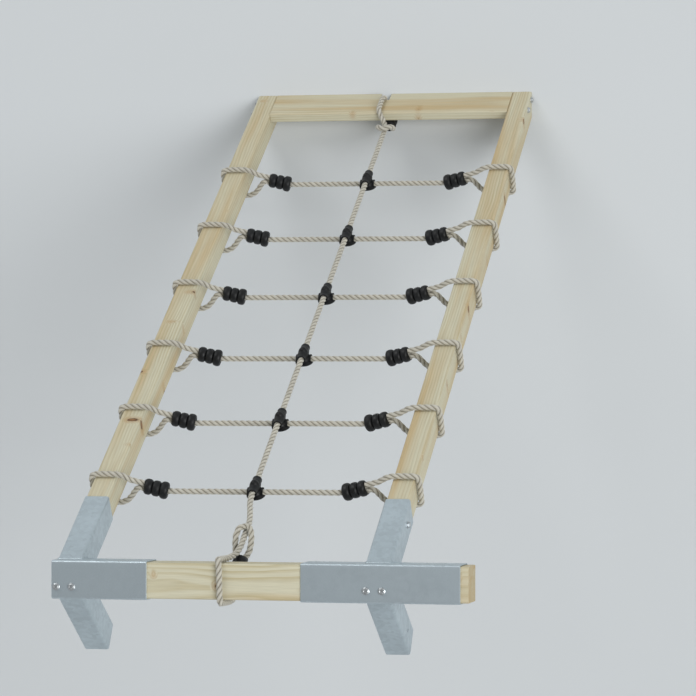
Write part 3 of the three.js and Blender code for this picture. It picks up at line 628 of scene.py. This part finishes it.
class CLIMBING_NET_OT_bottom_board(bpy.types.Operator):
    """Adds the bottom board, cut level at the ground and notched for the centre rope"""
    bl_idname = "climbing_net.bottom_board"
    bl_label = "Bottom board"

    def execute(self, context):
        """The board's section is a column from its foot to its top at each depth. Along the board
        the foot is the ground, and in the notch it is the notch's top."""
        settings = context.scene.climbing_net.timber
        edge, soft = settings.edge_radius, settings.end_softness
        half, middle = (RAIL_HALF_DEPTH - BOARD_BACK) / 2, (RAIL_HALF_DEPTH + BOARD_BACK) / 2
        end = node_box("bottom_board")[1][0]
        height, depth = rounded_outline(BOARD_TOP / 2, half, edge).T
        share = height / BOARD_TOP + 0.5
        # The foot is sawn square: its rounded corners are opened out to the full depth.
        opened = np.sign(depth) * np.minimum(half, np.abs(depth) * half / (half - 0.7 * edge))
        depth = np.where(share < edge / BOARD_TOP, opened, depth)
        x = np.concatenate([
            [-end], np.linspace(soft - end, NOTCH[0] - soft / 2, 12),
            np.linspace(NOTCH[0] + soft / 2, NOTCH[1] - soft / 2, 3),
            np.linspace(NOTCH[1] + soft / 2, end - soft, 12), [end]])[:, None]
        base = np.where((x > NOTCH[0]) & (x < NOTCH[1]), NOTCH_TOP, -(middle + depth) * COT)
        at_end = np.abs(x) >= end
        edge_of_end = at_end & (np.abs(share - 0.5) > 0.49)
        up = base + share * (BOARD_TOP - base) + edge_of_end * soft * np.sign(0.5 - share)
        out = middle + np.where(at_end, 1 - soft / half, 1) * depth
        board = closed_surface(on_panel(x, up, out), end_grain=at_end[..., None].astype(float),
                               wood=wood_grain(x, up, out, (130 * MM, -30 * MM), 7.7))
        make_piece("bottom_board_timber", [board], "pine", "frame", ["bottom_board"])
        return {"FINISHED"}


class CLIMBING_NET_OT_beam(bpy.types.Operator):
    """Adds the swing beam that the brackets hold"""
    bl_idname = "climbing_net.beam"
    bl_label = "Beam"

    def execute(self, context):
        low, high = node_box("top_beam")
        half = (high[2] - low[2]) / 2
        bar = timber(half, half, lambda z: low[0], lambda z: high[0],
                     lambda a, b, along: at_beam(along, a, b),
                     (12 * MM, -20 * MM), 5.3, context.scene.climbing_net.timber)
        make_piece("top_beam_timber", [bar], "pine", "frame", ["top_beam"])
        return {"FINISHED"}


# ---------------------------------------------------------------- brackets and screws


def square_tube(half_a, half_b, low, high, place, settings):
    """A folded tube: a rounded rectangle carried from low to high outside and back inside, with the
    sharp edges of both ends eased. low and high take the second coordinate of a point."""
    wall, eased, steps = settings.wall, 1.1 * MM, 12
    skins = np.array([rounded_outline(half_a - inset, half_b - inset, settings.corner_radius - inset)
                      for inset in (0, eased, wall - eased, wall)])
    skin = np.array([0] * steps + [1, 2] + [3] * steps + [2, 1])
    run = np.linspace(0, 1, steps)
    share = np.concatenate([run, [1, 1], run[::-1], [0, 0]])[:, None]
    a, b = skins[skin].transpose(2, 0, 1)
    drawn_in = np.where(skin % 3 == 0, eased, 0)[:, None]
    start, stop = low(b) + drawn_in, high(b) - drawn_in
    return closed_surface(place(a, b, start + share * (stop - start)), ring_loop=True)


def leg_end(out):
    """Where a line along the leg, this far out of its middle plane, meets the beam sleeve's front or
    under side, or the plane in which the two legs are mitred."""
    cos, sin = UP_SLOPE[1], UP_SLOPE[2]
    mitre = out * sin / cos
    front = (out * sin - SLEEVE_HALF) / cos
    under = (-out * cos - SLEEVE_HALF) / sin
    return np.minimum(mitre, np.maximum(front, under))


def weld_bead(line, reference, settings):
    """A bead along a closed line: a small round section whose radius swells every 5 mm, as the pool
    of metal was laid down, and wanders a little."""
    step, swell, sides = 1.2 * MM, 5 * MM, 12
    route = even_steps(np.vstack([line, line[:1]]), step)[:-1]
    looped = np.vstack([route[-1:], route, route[:1]])
    first, second = (v[1:-1, None] for v in across_route(looped, reference))
    along = step * np.arange(len(route))[:, None]
    pool = np.sqrt(np.abs(np.sin(np.pi * along / swell)))
    wander = np.sin(along / (23 * MM) + 2 * np.sin(along / (41 * MM)))
    radius = settings.weld_radius * (0.82 + 0.18 * pool) * (1 + 0.06 * wander)
    return closed_surface(turned(route[:, None], first, second, radius, whole_turn(sides)), ring_loop=True)


def drilled(piece, middle, direction, radius, reach):
    """Drills a round hole into a piece: a cylinder along the direction is cut away."""
    rings = placed(middle, (np.linspace(-reach, reach, 3)[:, None], direction))
    cylinder = turned(rings, UP_SLOPE, np.cross(direction, UP_SLOPE), radius, whole_turn(32))
    drill = bpy.data.objects.new("drill", make_mesh("drill", [closed_surface(cylinder)]))
    bpy.context.scene.collection.objects.link(drill)
    cut = piece.modifiers.new("drill", "BOOLEAN")
    cut.operation, cut.solver, cut.object = "DIFFERENCE", "EXACT", drill
    mesh = bpy.data.meshes.new_from_object(piece.evaluated_get(bpy.context.evaluated_depsgraph_get()))
    mesh.set_sharp_from_angle(angle=radians(FACET_ANGLE))
    piece.modifiers.clear()
    piece.data = mesh
    bpy.data.objects.remove(drill)


class CLIMBING_NET_OT_brackets(bpy.types.Operator):
    """Adds the two welded apex brackets with their open, drilled rear sockets"""
    bl_idname = "climbing_net.brackets"
    bl_label = "Apex brackets"

    def execute(self, context):
        settings = context.scene.climbing_net.steel
        overlap = 0.6 * settings.wall  # the leg's cut edge reaches into the sleeve's wall
        mouth = LEG_MOUTH - BEAM_UP
        outline = rounded_outline(LEG_HALF_WIDTH, LEG_HALF_DEPTH, settings.corner_radius, side_steps=40)
        for side, sign in SIDES:
            low, high = node_box(f"{side}_bracket")
            made = partial(make_piece, slot="zinc_steel", body="frame", nodes=[f"{side}_bracket"])
            sleeve = square_tube(SLEEVE_HALF, SLEEVE_HALF, lambda b: low[0], lambda b: high[0],
                                 lambda a, b, along: at_beam(along, a, b), settings)
            made(f"{side}_bracket_beam_sleeve", [sleeve])
            beads = []
            for leg, way in (("front", 1), ("rear", -1)):
                up, out = UP_SLOPE * [1, way, 1], OUT * [1, way, 1]

                def place(a, b, along):
                    return placed(BEAM, (sign * RAIL_MIDDLE + a, X), (along, up), (b, out))

                tube = square_tube(LEG_HALF_WIDTH, LEG_HALF_DEPTH, lambda b: mouth,
                                   lambda b: leg_end(b) + overlap, place, settings)
                socket = made(f"{side}_bracket_{leg}_socket", [tube])
                if leg == "rear":
                    hole = place(sign * LEG_HALF_WIDTH, 0, -SOCKET_HOLE)
                    drilled(socket, hole, X, HOLE_RADIUS, 3 * settings.wall)
                beads.append(weld_bead(place(*outline.T, leg_end(outline[:, 1])), up, settings))
            made(f"{side}_bracket_welds", beads, facet_angle=WELD_ANGLE)
        return {"FINISHED"}


def hex_screw(start, direction, shank):
    """A hexagon screw with a flange. Each ring is a circle mixed towards a hexagon. Down the shank a
    helical ridge rises once in each 3.4 mm turn."""
    pitch, ridge_height, core, ring_step = 3.4, 0.8, 3.2, 0.55  # in millimetres, as the table is
    thread_start, tip_length, end = 2.0, 6, shank / MM
    head = [  # depth, radius over corners, share of hexagon
        [-6.1, 1.2, 0], [-6.2, 3.4, 0], [-6.8, 4.4, 0], [-6.8, 5.9, 0], [-6.45, 6.9, 0.6],
        [-6.0, 7.5, 1], [-4.0, 7.5, 1], [-2.3, 7.5, 1], [-1.95, 7.9, 0.5], [-1.8, 8.6, 0],
        [-1.45, 9.3, 0], [-0.9, 9.5, 0], [-0.5, 9.4, 0], [-0.3, 9.0, 0], [-0.3, 4.2, 0], [1.0, 4.0, 0]]
    thread = [[depth, core, 0] for depth in np.arange(thread_start, end - tip_length, ring_step)]
    tip = [[end - 5, 2.6, 0], [end - 1.2, 0.7, 0], [end - 0.3, 0.2, 0]]
    depth, radius, share = columns(head + thread + tip)
    angle = whole_turn(48)
    turn = (depth / pitch - angle / TURN) % 1
    ridge = np.clip(1 - 3.2 * np.abs(turn - 0.5), 0, 1) * ridge_height
    threaded = (depth > thread_start) & (depth < end - tip_length - 0.5)
    radius = radius * (1 - share + share * hexagon(angle)) + np.where(threaded, ridge, 0)
    helper = UP_SLOPE if abs(direction @ UP_SLOPE) < 0.7 else X
    first = np.cross(direction, helper)
    first /= np.linalg.norm(first)
    middle = placed(start, (depth * MM, direction))
    return closed_surface(turned(middle, first, np.cross(direction, first), radius * MM, angle))


class CLIMBING_NET_OT_screws(bpy.types.Operator):
    """Adds the hexagon screws of the brackets, rails and board"""
    bl_idname = "climbing_net.screws"
    bl_label = "Screws"

    def execute(self, context):
        under_head, above = 0.3 * MM, 6.8 * MM
        for name in sorted(n for n in frame["nodes"] if "_screw" in n):
            low, high = node_box(name)
            axis = 2 if "beam" in name else 0  # driven down into the beam, or in from a side
            sign = -1 if name.startswith("left") and axis == 0 else 1
            start = (low + high) / 2
            start[axis] = (high if sign > 0 else low)[axis] - sign * above
            screw = hex_screw(start, -sign * (X, Y, Z)[axis], high[axis] - low[axis] - above + under_head)
            make_piece(f"{name}_steel", [screw], "zinc_screw", "frame", [name])
        return {"FINISHED"}


# ---------------------------------------------------------------- mouldings


def ribbed_barrel(barrel_length, ribs, middle, along, strands, settings):
    """A two-part ribbed moulding round a rope's end. Its rings lie along its axis from inside the
    round mouth, out over the ribs and back into the flat mouth that takes two strands side by side.
    A ring is a superellipse with a half width each way and an exponent; a rib rises from its groove
    as the square root of 1 - |t|^2.6, t going from -1 to 1 over the rib. Sizes are in millimetres."""
    half, pitch = barrel_length / 2 / MM, barrel_length / len(ribs) / MM
    ribs = [rib / MM for rib in ribs]
    deep_in, rope_hole, wide_hole, deep_hole = 12, 8.6, 17.2, 8.9
    rows = [  # along the axis, half width, half depth, exponent
        (deep_in - half, 2, 2, 2), (deep_in - half, rope_hole, rope_hole, 2),
        (1.4 - half, rope_hole, rope_hole, 2), (0.4 - half, 9.4, 9.4, 2), (-half, 10.8, 10.8, 2),
        (-half, 0.62 * ribs[0], 0.62 * ribs[0], 2), (0.5 - half, 0.68 * ribs[0], 0.68 * ribs[0], 2)]
    share = 0.5 - 0.5 * np.cos(np.linspace(0.04, 0.96, 17) * np.pi)
    rise = np.sqrt(1 - np.abs(2 * share - 1) ** 2.6)
    for k, rib in enumerate(ribs):
        radius = rib * (settings.groove + (1 - settings.groove) * rise)
        w = k * pitch - half + share * pitch
        squeeze = np.clip((w - (half - 6)) / 6, 0, 1) ** 2  # the last rib flattens towards its mouth
        rows += zip(w, radius * (1 - 0.02 * squeeze), radius * (1 - 0.18 * squeeze), 2 + 0.3 * squeeze)
    rows += [
        (half - 0.4, 0.9 * ribs[-1], 0.62 * ribs[-1], 2.3),
        (half, wide_hole + 1.2, deep_hole + 2.6, 2.4), (half, wide_hole + 0.6, deep_hole + 0.7, 2.5),
        (half - 1.2, wide_hole, deep_hole, 2.6), (half - deep_in, wide_hole, deep_hole, 2.6),
        (half - deep_in, 4, 2, 2.6)]
    w, wide, deep, power = columns(rows)
    u = whole_turn(56)
    angle = u - 0.4 * np.sin(2 * u)  # closer together beside the seams
    cos, sin = np.cos(angle), np.sin(angle)
    scale = (np.abs(cos) ** power + np.abs(sin) ** power) ** (-1 / power)
    round_hole, seam_width = 12, 0.7  # the seam doesn't go into the round mouth
    seam = settings.seam / MM * np.exp(-(sin * wide / seam_width) ** 2) * np.sign(cos)
    ridge = np.where(wide > round_hole, seam, 0)
    return closed_surface(placed(
        middle, (w * MM, along), ((wide * scale * cos + ridge) * MM, strands),
        (deep * scale * sin * MM, np.cross(along, strands))))


class CLIMBING_NET_OT_clamps(bpy.types.Operator):
    """Adds the ribbed clamps at the ends of the rung ropes"""
    bl_idname = "climbing_net.clamps"
    bl_label = "Clamps"

    def execute(self, context):
        cos, sin = np.cos(CLAMP_TILT), np.sin(CLAMP_TILT)
        for rung, up, side, sign in RUNG_ENDS:
            barrel = ribbed_barrel(
                CLAMP_LENGTH, CLAMP_RIBS, on_panel(sign * CLAMP_X, up, 0), sign * cos * X + sin * OUT,
                cos * OUT - sign * sin * X, context.scene.climbing_net.plastic)
            make_piece(f"{side}_clamp_{rung}_moulding", [barrel], "black_plastic", "frame",
                       [f"{side}_clamp_{rung}"], BARREL_ANGLE)
        return {"FINISHED"}


def bell(middle):
    """The connector's bell about the outward axis. From the recessed back its outline goes round the
    foot, in along a parabola to the head and over a quarter of an ellipse to the top, with a fine
    groove where the two halves meet. Sizes are in millimetres."""
    head, top, rim, foot = 15.5, 29, -13.5, 25

    def flared(height):
        return head + (foot - head) * (height / rim) ** 2

    back = [[-16.5, 2], [-16.5, 20], [-18.2, 20.6], [-18.5, 21.2], [-18.5, 24.3], [-18.1, 24.9],
            [-17, 25], [-14.4, 25]]
    flare = rim * (1 - np.linspace(0, 1, 14))
    parting = np.array([-9.2, -8.8, -8.4, -8.0])
    low, high = flare[flare < -9.5], flare[flare > -7.7]
    a = np.linspace(0, QUARTER, 22)[1:-1]
    rows = np.vstack([
        back, np.stack([low, flared(low)], -1), np.stack([parting, flared(parting) - [0, 0.5, 0.5, 0]], -1),
        np.stack([high, flared(high)], -1), np.stack([top * np.sin(a), head * np.cos(a)], -1)])
    height, radius = columns(rows * MM)
    return closed_surface(turned(placed(middle, (height, OUT)), X, UP_SLOPE, radius, whole_turn(56)))


def collar(middle, along, across, half, height, floor):
    """A tube along a bore of the connector, a little thicker towards the bell, with a rolled lip at
    each mouth. It is cut flat at the connector's back."""
    inner, outer, lip = 8.5 * MM, 12.1 * MM, 0.5 * MM
    chamfer, thicker = 1.4 * MM, 2.6 * MM
    share = np.array([1, 0.985, 0.95, 0.9, 0.84, 0.75, 0.65, 0.55, 0.4, 0])
    reach = outer + lip * np.exp(-((share - 0.93) / 0.05) ** 2)
    reach += thicker * np.clip((0.8 - share) / 0.5, 0, 1) ** 2
    reach[0] = outer - 0.7 * MM
    skin = np.stack([-share * half, reach], -1)
    bore = np.array([[half, inner + chamfer], [half - 1.2 * MM, inner], [0, inner]])
    rows = np.vstack([skin, skin[-2::-1] * [-1, 1], bore, bore[-2::-1] * [-1, 1]])
    w, radius = columns(rows)
    angle = whole_turn(40)
    out = np.maximum(height + radius * np.sin(angle), floor)
    return closed_surface(
        placed(middle, (w, along), (out, OUT), (radius * np.cos(angle), across)), ring_loop=True)


def socket_screw(middle):
    """A small socket screw in the connector's back: rings about the outward axis from the bottom of
    the hexagon socket, over the head and down into the moulding."""
    height, radius, share = columns([  # height and radius in millimetres, share of hexagon
        [-17.0, 1.2, 1], [-17.0, 1.6, 1], [-18.1, 1.75, 1], [-18.25, 2.2, 0],
        [-18.2, 2.8, 0], [-17.8, 3.3, 0], [-16.0, 3.4, 0]])
    angle = whole_turn(24)
    radius = radius * (1 - share + share * hexagon(angle))
    return closed_surface(turned(placed(middle, (height * MM, OUT)), X, UP_SLOPE, radius * MM, angle))


class CLIMBING_NET_OT_connectors(bpy.types.Operator):
    """Adds the moulded connectors where the rung ropes cross the centre rope"""
    bl_idname = "climbing_net.connectors"
    bl_label = "Cross connectors"

    def execute(self, context):
        back, from_middle = -18.4 * MM, 12.2 * MM
        for rung, up in RUNGS:
            middle = on_panel(0, up, 0)
            parts = [bell(middle), collar(middle, X, UP_SLOPE, 21 * MM, -CROSSING, back),
                     collar(middle, UP_SLOPE, X, COLLAR_HALF, CROSSING, back)]
            screws = [socket_screw(middle + from_middle * (i * X + j * UP_SLOPE))
                      for i in (-1, 1) for j in (-1, 1)]
            made = partial(make_piece, body="net", nodes=[f"cross_connector_{rung}"])
            made(f"cross_connector_{rung}_moulding", parts, "black_plastic")
            made(f"cross_connector_{rung}_screws", screws, "zinc_screw")
        return {"FINISHED"}


# ---------------------------------------------------------------- ropes


def rope_piece(name, points, reference, body, nodes):
    """One laid rope as a piece of its own, smooth all over except in its grooves."""
    rope = laid_rope(points, reference, bpy.context.scene.climbing_net.rope)
    return make_piece(name, [rope], "rope", body, nodes, facet_angle=ROPE_ANGLE)


def round_edge(u, v, way_u, way_v, start, stop):
    """Points of a rope's middle line round a timber's edge, as (u, v) pairs. The timber lies on the
    side of the edge that way_u and way_v point to. The bend is centred in the edge's rounding. It
    goes from start to stop, in quarters of a turn."""
    edge, steps = 4 * MM, 4
    radius = edge + ROUND_TIMBER
    angle = QUARTER * np.linspace(start, stop, steps + 1)
    return [(u + way_u * edge + radius * np.cos(a), v + way_v * edge + radius * np.sin(a)) for a in angle]


class CLIMBING_NET_OT_side_loops(bpy.types.Operator):
    """Adds the rope loops that go from the clamps round the rails"""
    bl_idname = "climbing_net.side_loops"
    bl_label = "Side loops"

    def execute(self, context):
        """The route goes across and outwards: from the clamp over the rail's face, round its outer
        side and back under it."""
        cos, sin = np.cos(CLAMP_TILT), np.sin(CLAMP_TILT)
        over = ROUND_TIMBER / MM

        def clamp_end(side):
            """The strand's end in the clamp's mouth, on one side of the clamp's axis."""
            reach = CLAMP_LENGTH / 2 + 0.4 * MM + np.array([-IN_MOUTH, 0, 12 * MM])
            across = side * STRANDS_APART
            return list(zip(CLAMP_X + reach * cos - across * sin, reach * sin + across * cos))

        def past_face(side, *steps):
            """Points in millimetres from the edge of the rail's face: across, and out past it."""
            return [(RAIL_INNER + x * MM, side * (RAIL_HALF_DEPTH + out * MM)) for x, out in steps]

        x, out = np.transpose([
            *clamp_end(1), *past_face(1, (-38, -8), (-22, 1.5), (-9, over - 2), (5, over)),
            *round_edge(RAIL_OUTER, RAIL_HALF_DEPTH, -1, -1, 1, 0),
            *round_edge(RAIL_OUTER, -RAIL_HALF_DEPTH, -1, 1, 0, -1),
            *past_face(-1, (5, over), (-9, over - 2), (-22, 0), (-35, -14), (-46, -29)),
            *clamp_end(-1)[::-1]])
        for rung, up, side, sign in RUNG_ENDS:
            rope_piece(f"{side}_loop_{rung}_rope", on_panel(sign * x, up, out), UP_SLOPE, "frame",
                       [f"{side}_loop_{rung}"])
        return {"FINISHED"}


class CLIMBING_NET_OT_rung_ropes(bpy.types.Operator):
    """Adds the rung ropes, each half of which runs between its connector and its clamp"""
    bl_idname = "climbing_net.rung_ropes"
    bl_label = "Rung ropes"

    def execute(self, context):
        cos, sin = np.cos(CLAMP_TILT), np.sin(CLAMP_TILT)
        mouth = CLAMP_X - CLAMP_LENGTH / 2 * cos
        x = np.array([0, mouth / 2, mouth - 14 * MM, mouth, mouth + IN_MOUTH * cos])
        out = np.array([0, 0, 0, 0.4 * MM, IN_MOUTH * sin]) - CROSSING
        for rung, up, side, sign in RUNG_ENDS:
            piece = rope_piece(f"{side}_half_rung_{rung}_rope", on_panel(sign * x, up, out), UP_SLOPE,
                               None, [f"rung_rope_{rung}"])
            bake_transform(piece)
        return {"FINISHED"}


EYE_LENGTH = 80 * MM
EYE_HALF_WIDTH = 20.5 * MM
EYE_OUT = CROSSING + 17 * MM  # the eye's closed end rides over the standing rope
SPLIT_PAST_EYE = 16 * MM
TOP_EYE_X = -20 * MM
BOTTOM_ROPE_X = 26 * MM
LOW_OUT = BOARD_BACK - 21 * MM
LOW_FERRULE = BOARD_TOP - FERRULE_LENGTH
LOW_SPLIT = BOARD_TOP + EYE_LENGTH + SPLIT_PAST_EYE
HIGH_OUT = -20 * MM
HIGH_FERRULE = BEAM_UP - 70 * MM
HIGH_SPLIT = HIGH_FERRULE - FERRULE_LENGTH - EYE_LENGTH - SPLIT_PAST_EYE


def ease(t):
    """A smooth step from 0 to 1."""
    t = np.clip(t, 0, 1)
    return t * t * (3 - 2 * t)


def eye_route(x, start, out, way):
    """The eye in the centre rope's end, from its ferrule round its closed end and back. Its half
    width is listed against its share of the eye's length."""
    strand = STRANDS_APART / EYE_HALF_WIDTH
    outline = np.array([
        [strand, -0.11], [strand, 0.0], [strand, 0.05], [0.6, 0.17], [0.85, 0.3], [1.0, 0.52],
        [0.96, 0.72], [0.72, 0.89], [0.38, 0.98], [0.0, 1.0]])
    wide, share = np.vstack([outline, outline[-2::-1] * [-1, 1]]).T
    rise = (EYE_OUT - out) * ease((share - 0.05) / 0.95)
    return on_panel(x + wide * EYE_HALF_WIDTH, start + way * share * EYE_LENGTH, out + rise)


def lower_route():
    """From the ferrule behind the board, under the board, up its face, over its top, through the
    eye and up to the middle of the lowest connector."""
    first = RUNGS[0][1]
    under = round_edge(NOTCH_TOP, BOARD_BACK, 1, 1, -1, -2)
    up_face = round_edge(NOTCH_TOP, RAIL_HALF_DEPTH, 1, -1, 2, 1)
    over = round_edge(BOARD_TOP, RAIL_HALF_DEPTH, -1, -1, 1, 0)
    return on_panel(*np.transpose([
        (0, LOW_FERRULE + IN_MOUTH, LOW_OUT), (0, LOW_FERRULE - 0.4 * MM, LOW_OUT),
        (0, LOW_FERRULE - 9 * MM, LOW_OUT), (3 * MM, NOTCH_TOP + 12 * MM, LOW_OUT + 1 * MM),
        *(((10 + 2.5 * i) * MM, *p) for i, p in enumerate(under)),
        *(((22 + i) * MM, *p) for i, p in enumerate(up_face)),
        *((BOTTOM_ROPE_X - 1.5 * i * MM, *p) for i, p in enumerate(over)),
        *((x * MM, BOARD_TOP + up * MM, CROSSING + out * MM) for x, up, out in (
            (14, 16, 14), (7, 28, 5), (2, 45, 1), (0, 62, 0))),
        *((0, up, CROSSING) for up in (LOW_SPLIT - 12 * MM, LOW_SPLIT, (LOW_SPLIT + first) / 2, first))]))


def upper_route():
    """From the ferrule under the beam, up behind it, over the top, down its front, through the
    eye and down to the middle of the highest connector."""
    last, edge = RUNGS[-1][1], node_box("top_beam")[1][2] - BEAM[2]
    lift = edge + ROUND_TIMBER
    start = on_panel(TOP_EYE_X, HIGH_FERRULE + np.array([-IN_MOUTH, 0.4 * MM, 8 * MM]), HIGH_OUT)
    behind = round_edge(edge, -edge, -1, 1, -1, 0)
    in_front = round_edge(edge, edge, -1, -1, 0, 1)
    down_front = round_edge(-edge, edge, 1, -1, 1, 2)
    round_beam = [
        (TOP_EYE_X, -12 * MM, -lift - 3.5 * MM), (TOP_EYE_X, -5 * MM, -lift - 0.5 * MM),
        (TOP_EYE_X + 1 * MM, 4 * MM, -lift),
        *((TOP_EYE_X + (4 + i) * MM, *p) for i, p in enumerate(behind)),
        *((-8 * MM, *p) for p in in_front), *(((i - 5) * MM, *p) for i, p in enumerate(down_front)),
        (-1 * MM, -lift, 0), (-4 * MM, -lift, 12 * MM - edge)]
    straight, share = last + 39 * MM, np.array([0.9, 0.75, 0.5, 0.25, 0])
    down = [
        *((x * MM, BEAM_UP + up * MM, CROSSING + out * MM) for x, up, out in (
            (-8, -78, 8.5), (-13, -96, 3), (-17, -114, 0.5), (-19.5, -132, 0), (-20, -150, 0))),
        (TOP_EYE_X, HIGH_SPLIT + 12 * MM, CROSSING), (TOP_EYE_X, HIGH_SPLIT, CROSSING),
        *((TOP_EYE_X * ease(s / 0.9), straight + (HIGH_SPLIT - straight) * s, CROSSING) for s in share),
        (0, last, CROSSING)]
    return np.vstack([start, at_beam(*np.transpose(round_beam)), on_panel(*np.transpose(down))])


class CLIMBING_NET_OT_centre_rope(bpy.types.Operator):
    """Adds the centre rope with its eye and ferrule round the board and round the beam"""
    bl_idname = "climbing_net.centre_rope"
    bl_label = "Centre rope"

    def execute(self, context):
        first, last = RUNGS[0][1], RUNGS[-1][1]
        middle = on_panel(0, np.linspace(first, last, 8), CROSSING)
        rope_piece("centre_rope_middle", middle, X, "net", ["centre_rope"])
        hitches = (("bottom", lower_route(), LOW_SPLIT, first - COLLAR_HALF),
                   ("top", upper_route(), HIGH_SPLIT, last + COLLAR_HALF))
        for name, route, split, held in hitches:
            wrap = rope_piece(f"{name}_hitch_and_centre_rope", route, X, None,
                              [f"{name}_hitch_rope", "centre_rope"])
            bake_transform(wrap)
        eyes = (("bottom", 0, LOW_FERRULE, LOW_OUT, 1), ("top", TOP_EYE_X, HIGH_FERRULE, HIGH_OUT, -1))
        for name, x, ferrule, out, way in eyes:
            eye = eye_route(x, ferrule + way * (FERRULE_LENGTH + 0.4 * MM), out, way)
            rope_piece(f"{name}_eye_rope", eye, OUT, "frame", [f"{name}_eye"])
            barrel = ribbed_barrel(
                FERRULE_LENGTH, FERRULE_RIBS, on_panel(x, ferrule + way * FERRULE_LENGTH / 2, out),
                way * UP_SLOPE, X, context.scene.climbing_net.plastic)
            make_piece(f"{name}_ferrule_moulding", [barrel], "black_plastic", "frame",
                       [f"{name}_ferrule"], BARREL_ANGLE)
        return {"FINISHED"}


# ---------------------------------------------------------------- stage


class CLIMBING_NET_OT_stage(bpy.types.Operator):
    """Adds the pale floor, the soft lights and the camera high above the ground"""
    bl_idname = "climbing_net.stage"
    bl_label = "Stage"

    def execute(self, context):
        scene, settings = context.scene, context.scene.climbing_net.stage
        low, high = (Vector(corner) for corner in frame_box)
        middle = (low + high) / 2
        half_floor = 60.0
        mesh = bpy.data.meshes.new("floor")
        mesh.from_pydata([(middle.x + x * half_floor, middle.y + y * half_floor, 0)
                          for x, y in ((-1, -1), (1, -1), (1, 1), (-1, 1))], [], [(0, 1, 2, 3)])
        mesh.materials.append(finish("floor"))
        floor = bpy.data.objects.new("floor", mesh)
        scene.collection.objects.link(floor)

        lights = (
            ("key_light", (-11.0, 1.5, 14.5), 10.0, settings.key_power),
            ("fill_light", (8.0, -12.0, 9.0), 9.0, settings.fill_power))
        for name, place, side, power in lights:
            light = bpy.data.lights.new(name, "AREA")
            light.shape, light.size, light.energy = "SQUARE", side, power
            lamp = bpy.data.objects.new(name, light)
            lamp.location = middle + Vector(place)
            lamp.rotation_euler = (middle - lamp.location).to_track_quat("-Z", "Y").to_euler()
            scene.collection.objects.link(lamp)
        scene.world = bpy.data.worlds.new("studio")
        scene.world.use_nodes = True
        tree = scene.world.node_tree
        node, background = partial(add, tree), tree.nodes["Background"].inputs
        height = node("SeparateXYZ", [node("TexCoord").outputs["Generated"]]).outputs["Z"]
        fading = node("MapRange", (height, 0.1, 1, 1.25 * settings.sky, 0.45 * settings.sky))
        background["Color"].default_value = linear("EEF1F3")
        tree.links.new(fading.outputs["Result"], background["Strength"])
        scene.view_settings.view_transform = "Standard"

        # The camera looks at the middle of the net, with the foot of the net at the top.
        camera = bpy.data.objects.new("camera", bpy.data.cameras.new("camera"))
        camera.location = settings.camera_place
        back = (camera.location - middle).normalized()
        right = Vector((0, -1, 0)).cross(back).normalized()
        camera.rotation_euler = Matrix((right, back.cross(right), back)).transposed().to_euler()
        camera.data.lens = settings.lens
        scene.collection.objects.link(camera)
        scene.camera = camera
        return {"FINISHED"}


class CLIMBING_NET_PT_panel(bpy.types.Panel):
    """Lists the pieces of the climbing net"""
    bl_idname = "CLIMBING_NET_PT_panel"
    bl_label = "Climbing net"
    bl_space_type = "VIEW_3D"
    bl_region_type = "UI"
    bl_category = "Climbing net"

    def draw(self, context):
        for operator in OPERATORS:
            self.layout.operator(operator.bl_idname)


OPERATORS = (
    CLIMBING_NET_OT_stage,
    CLIMBING_NET_OT_rails,
    CLIMBING_NET_OT_bottom_board,
    CLIMBING_NET_OT_beam,
    CLIMBING_NET_OT_brackets,
    CLIMBING_NET_OT_screws,
    CLIMBING_NET_OT_clamps,
    CLIMBING_NET_OT_connectors,
    CLIMBING_NET_OT_side_loops,
    CLIMBING_NET_OT_rung_ropes,
    CLIMBING_NET_OT_centre_rope,
)
CLASSES = (TimberSettings, SteelSettings, RopeSettings, PlasticSettings, StageSettings, NetSettings,
           *OPERATORS, CLIMBING_NET_PT_panel)


def register():
    for cls in CLASSES:
        bpy.utils.register_class(cls)
    bpy.types.Scene.climbing_net = bpy.props.PointerProperty(type=NetSettings)


def unregister():
    del bpy.types.Scene.climbing_net
    for cls in reversed(CLASSES):
        bpy.utils.unregister_class(cls)


def main():
    register()
    for operator in OPERATORS:
        group, action = operator.bl_idname.split(".")
        getattr(getattr(bpy.ops, group), action)()


if __name__ == "__main__":
    main()
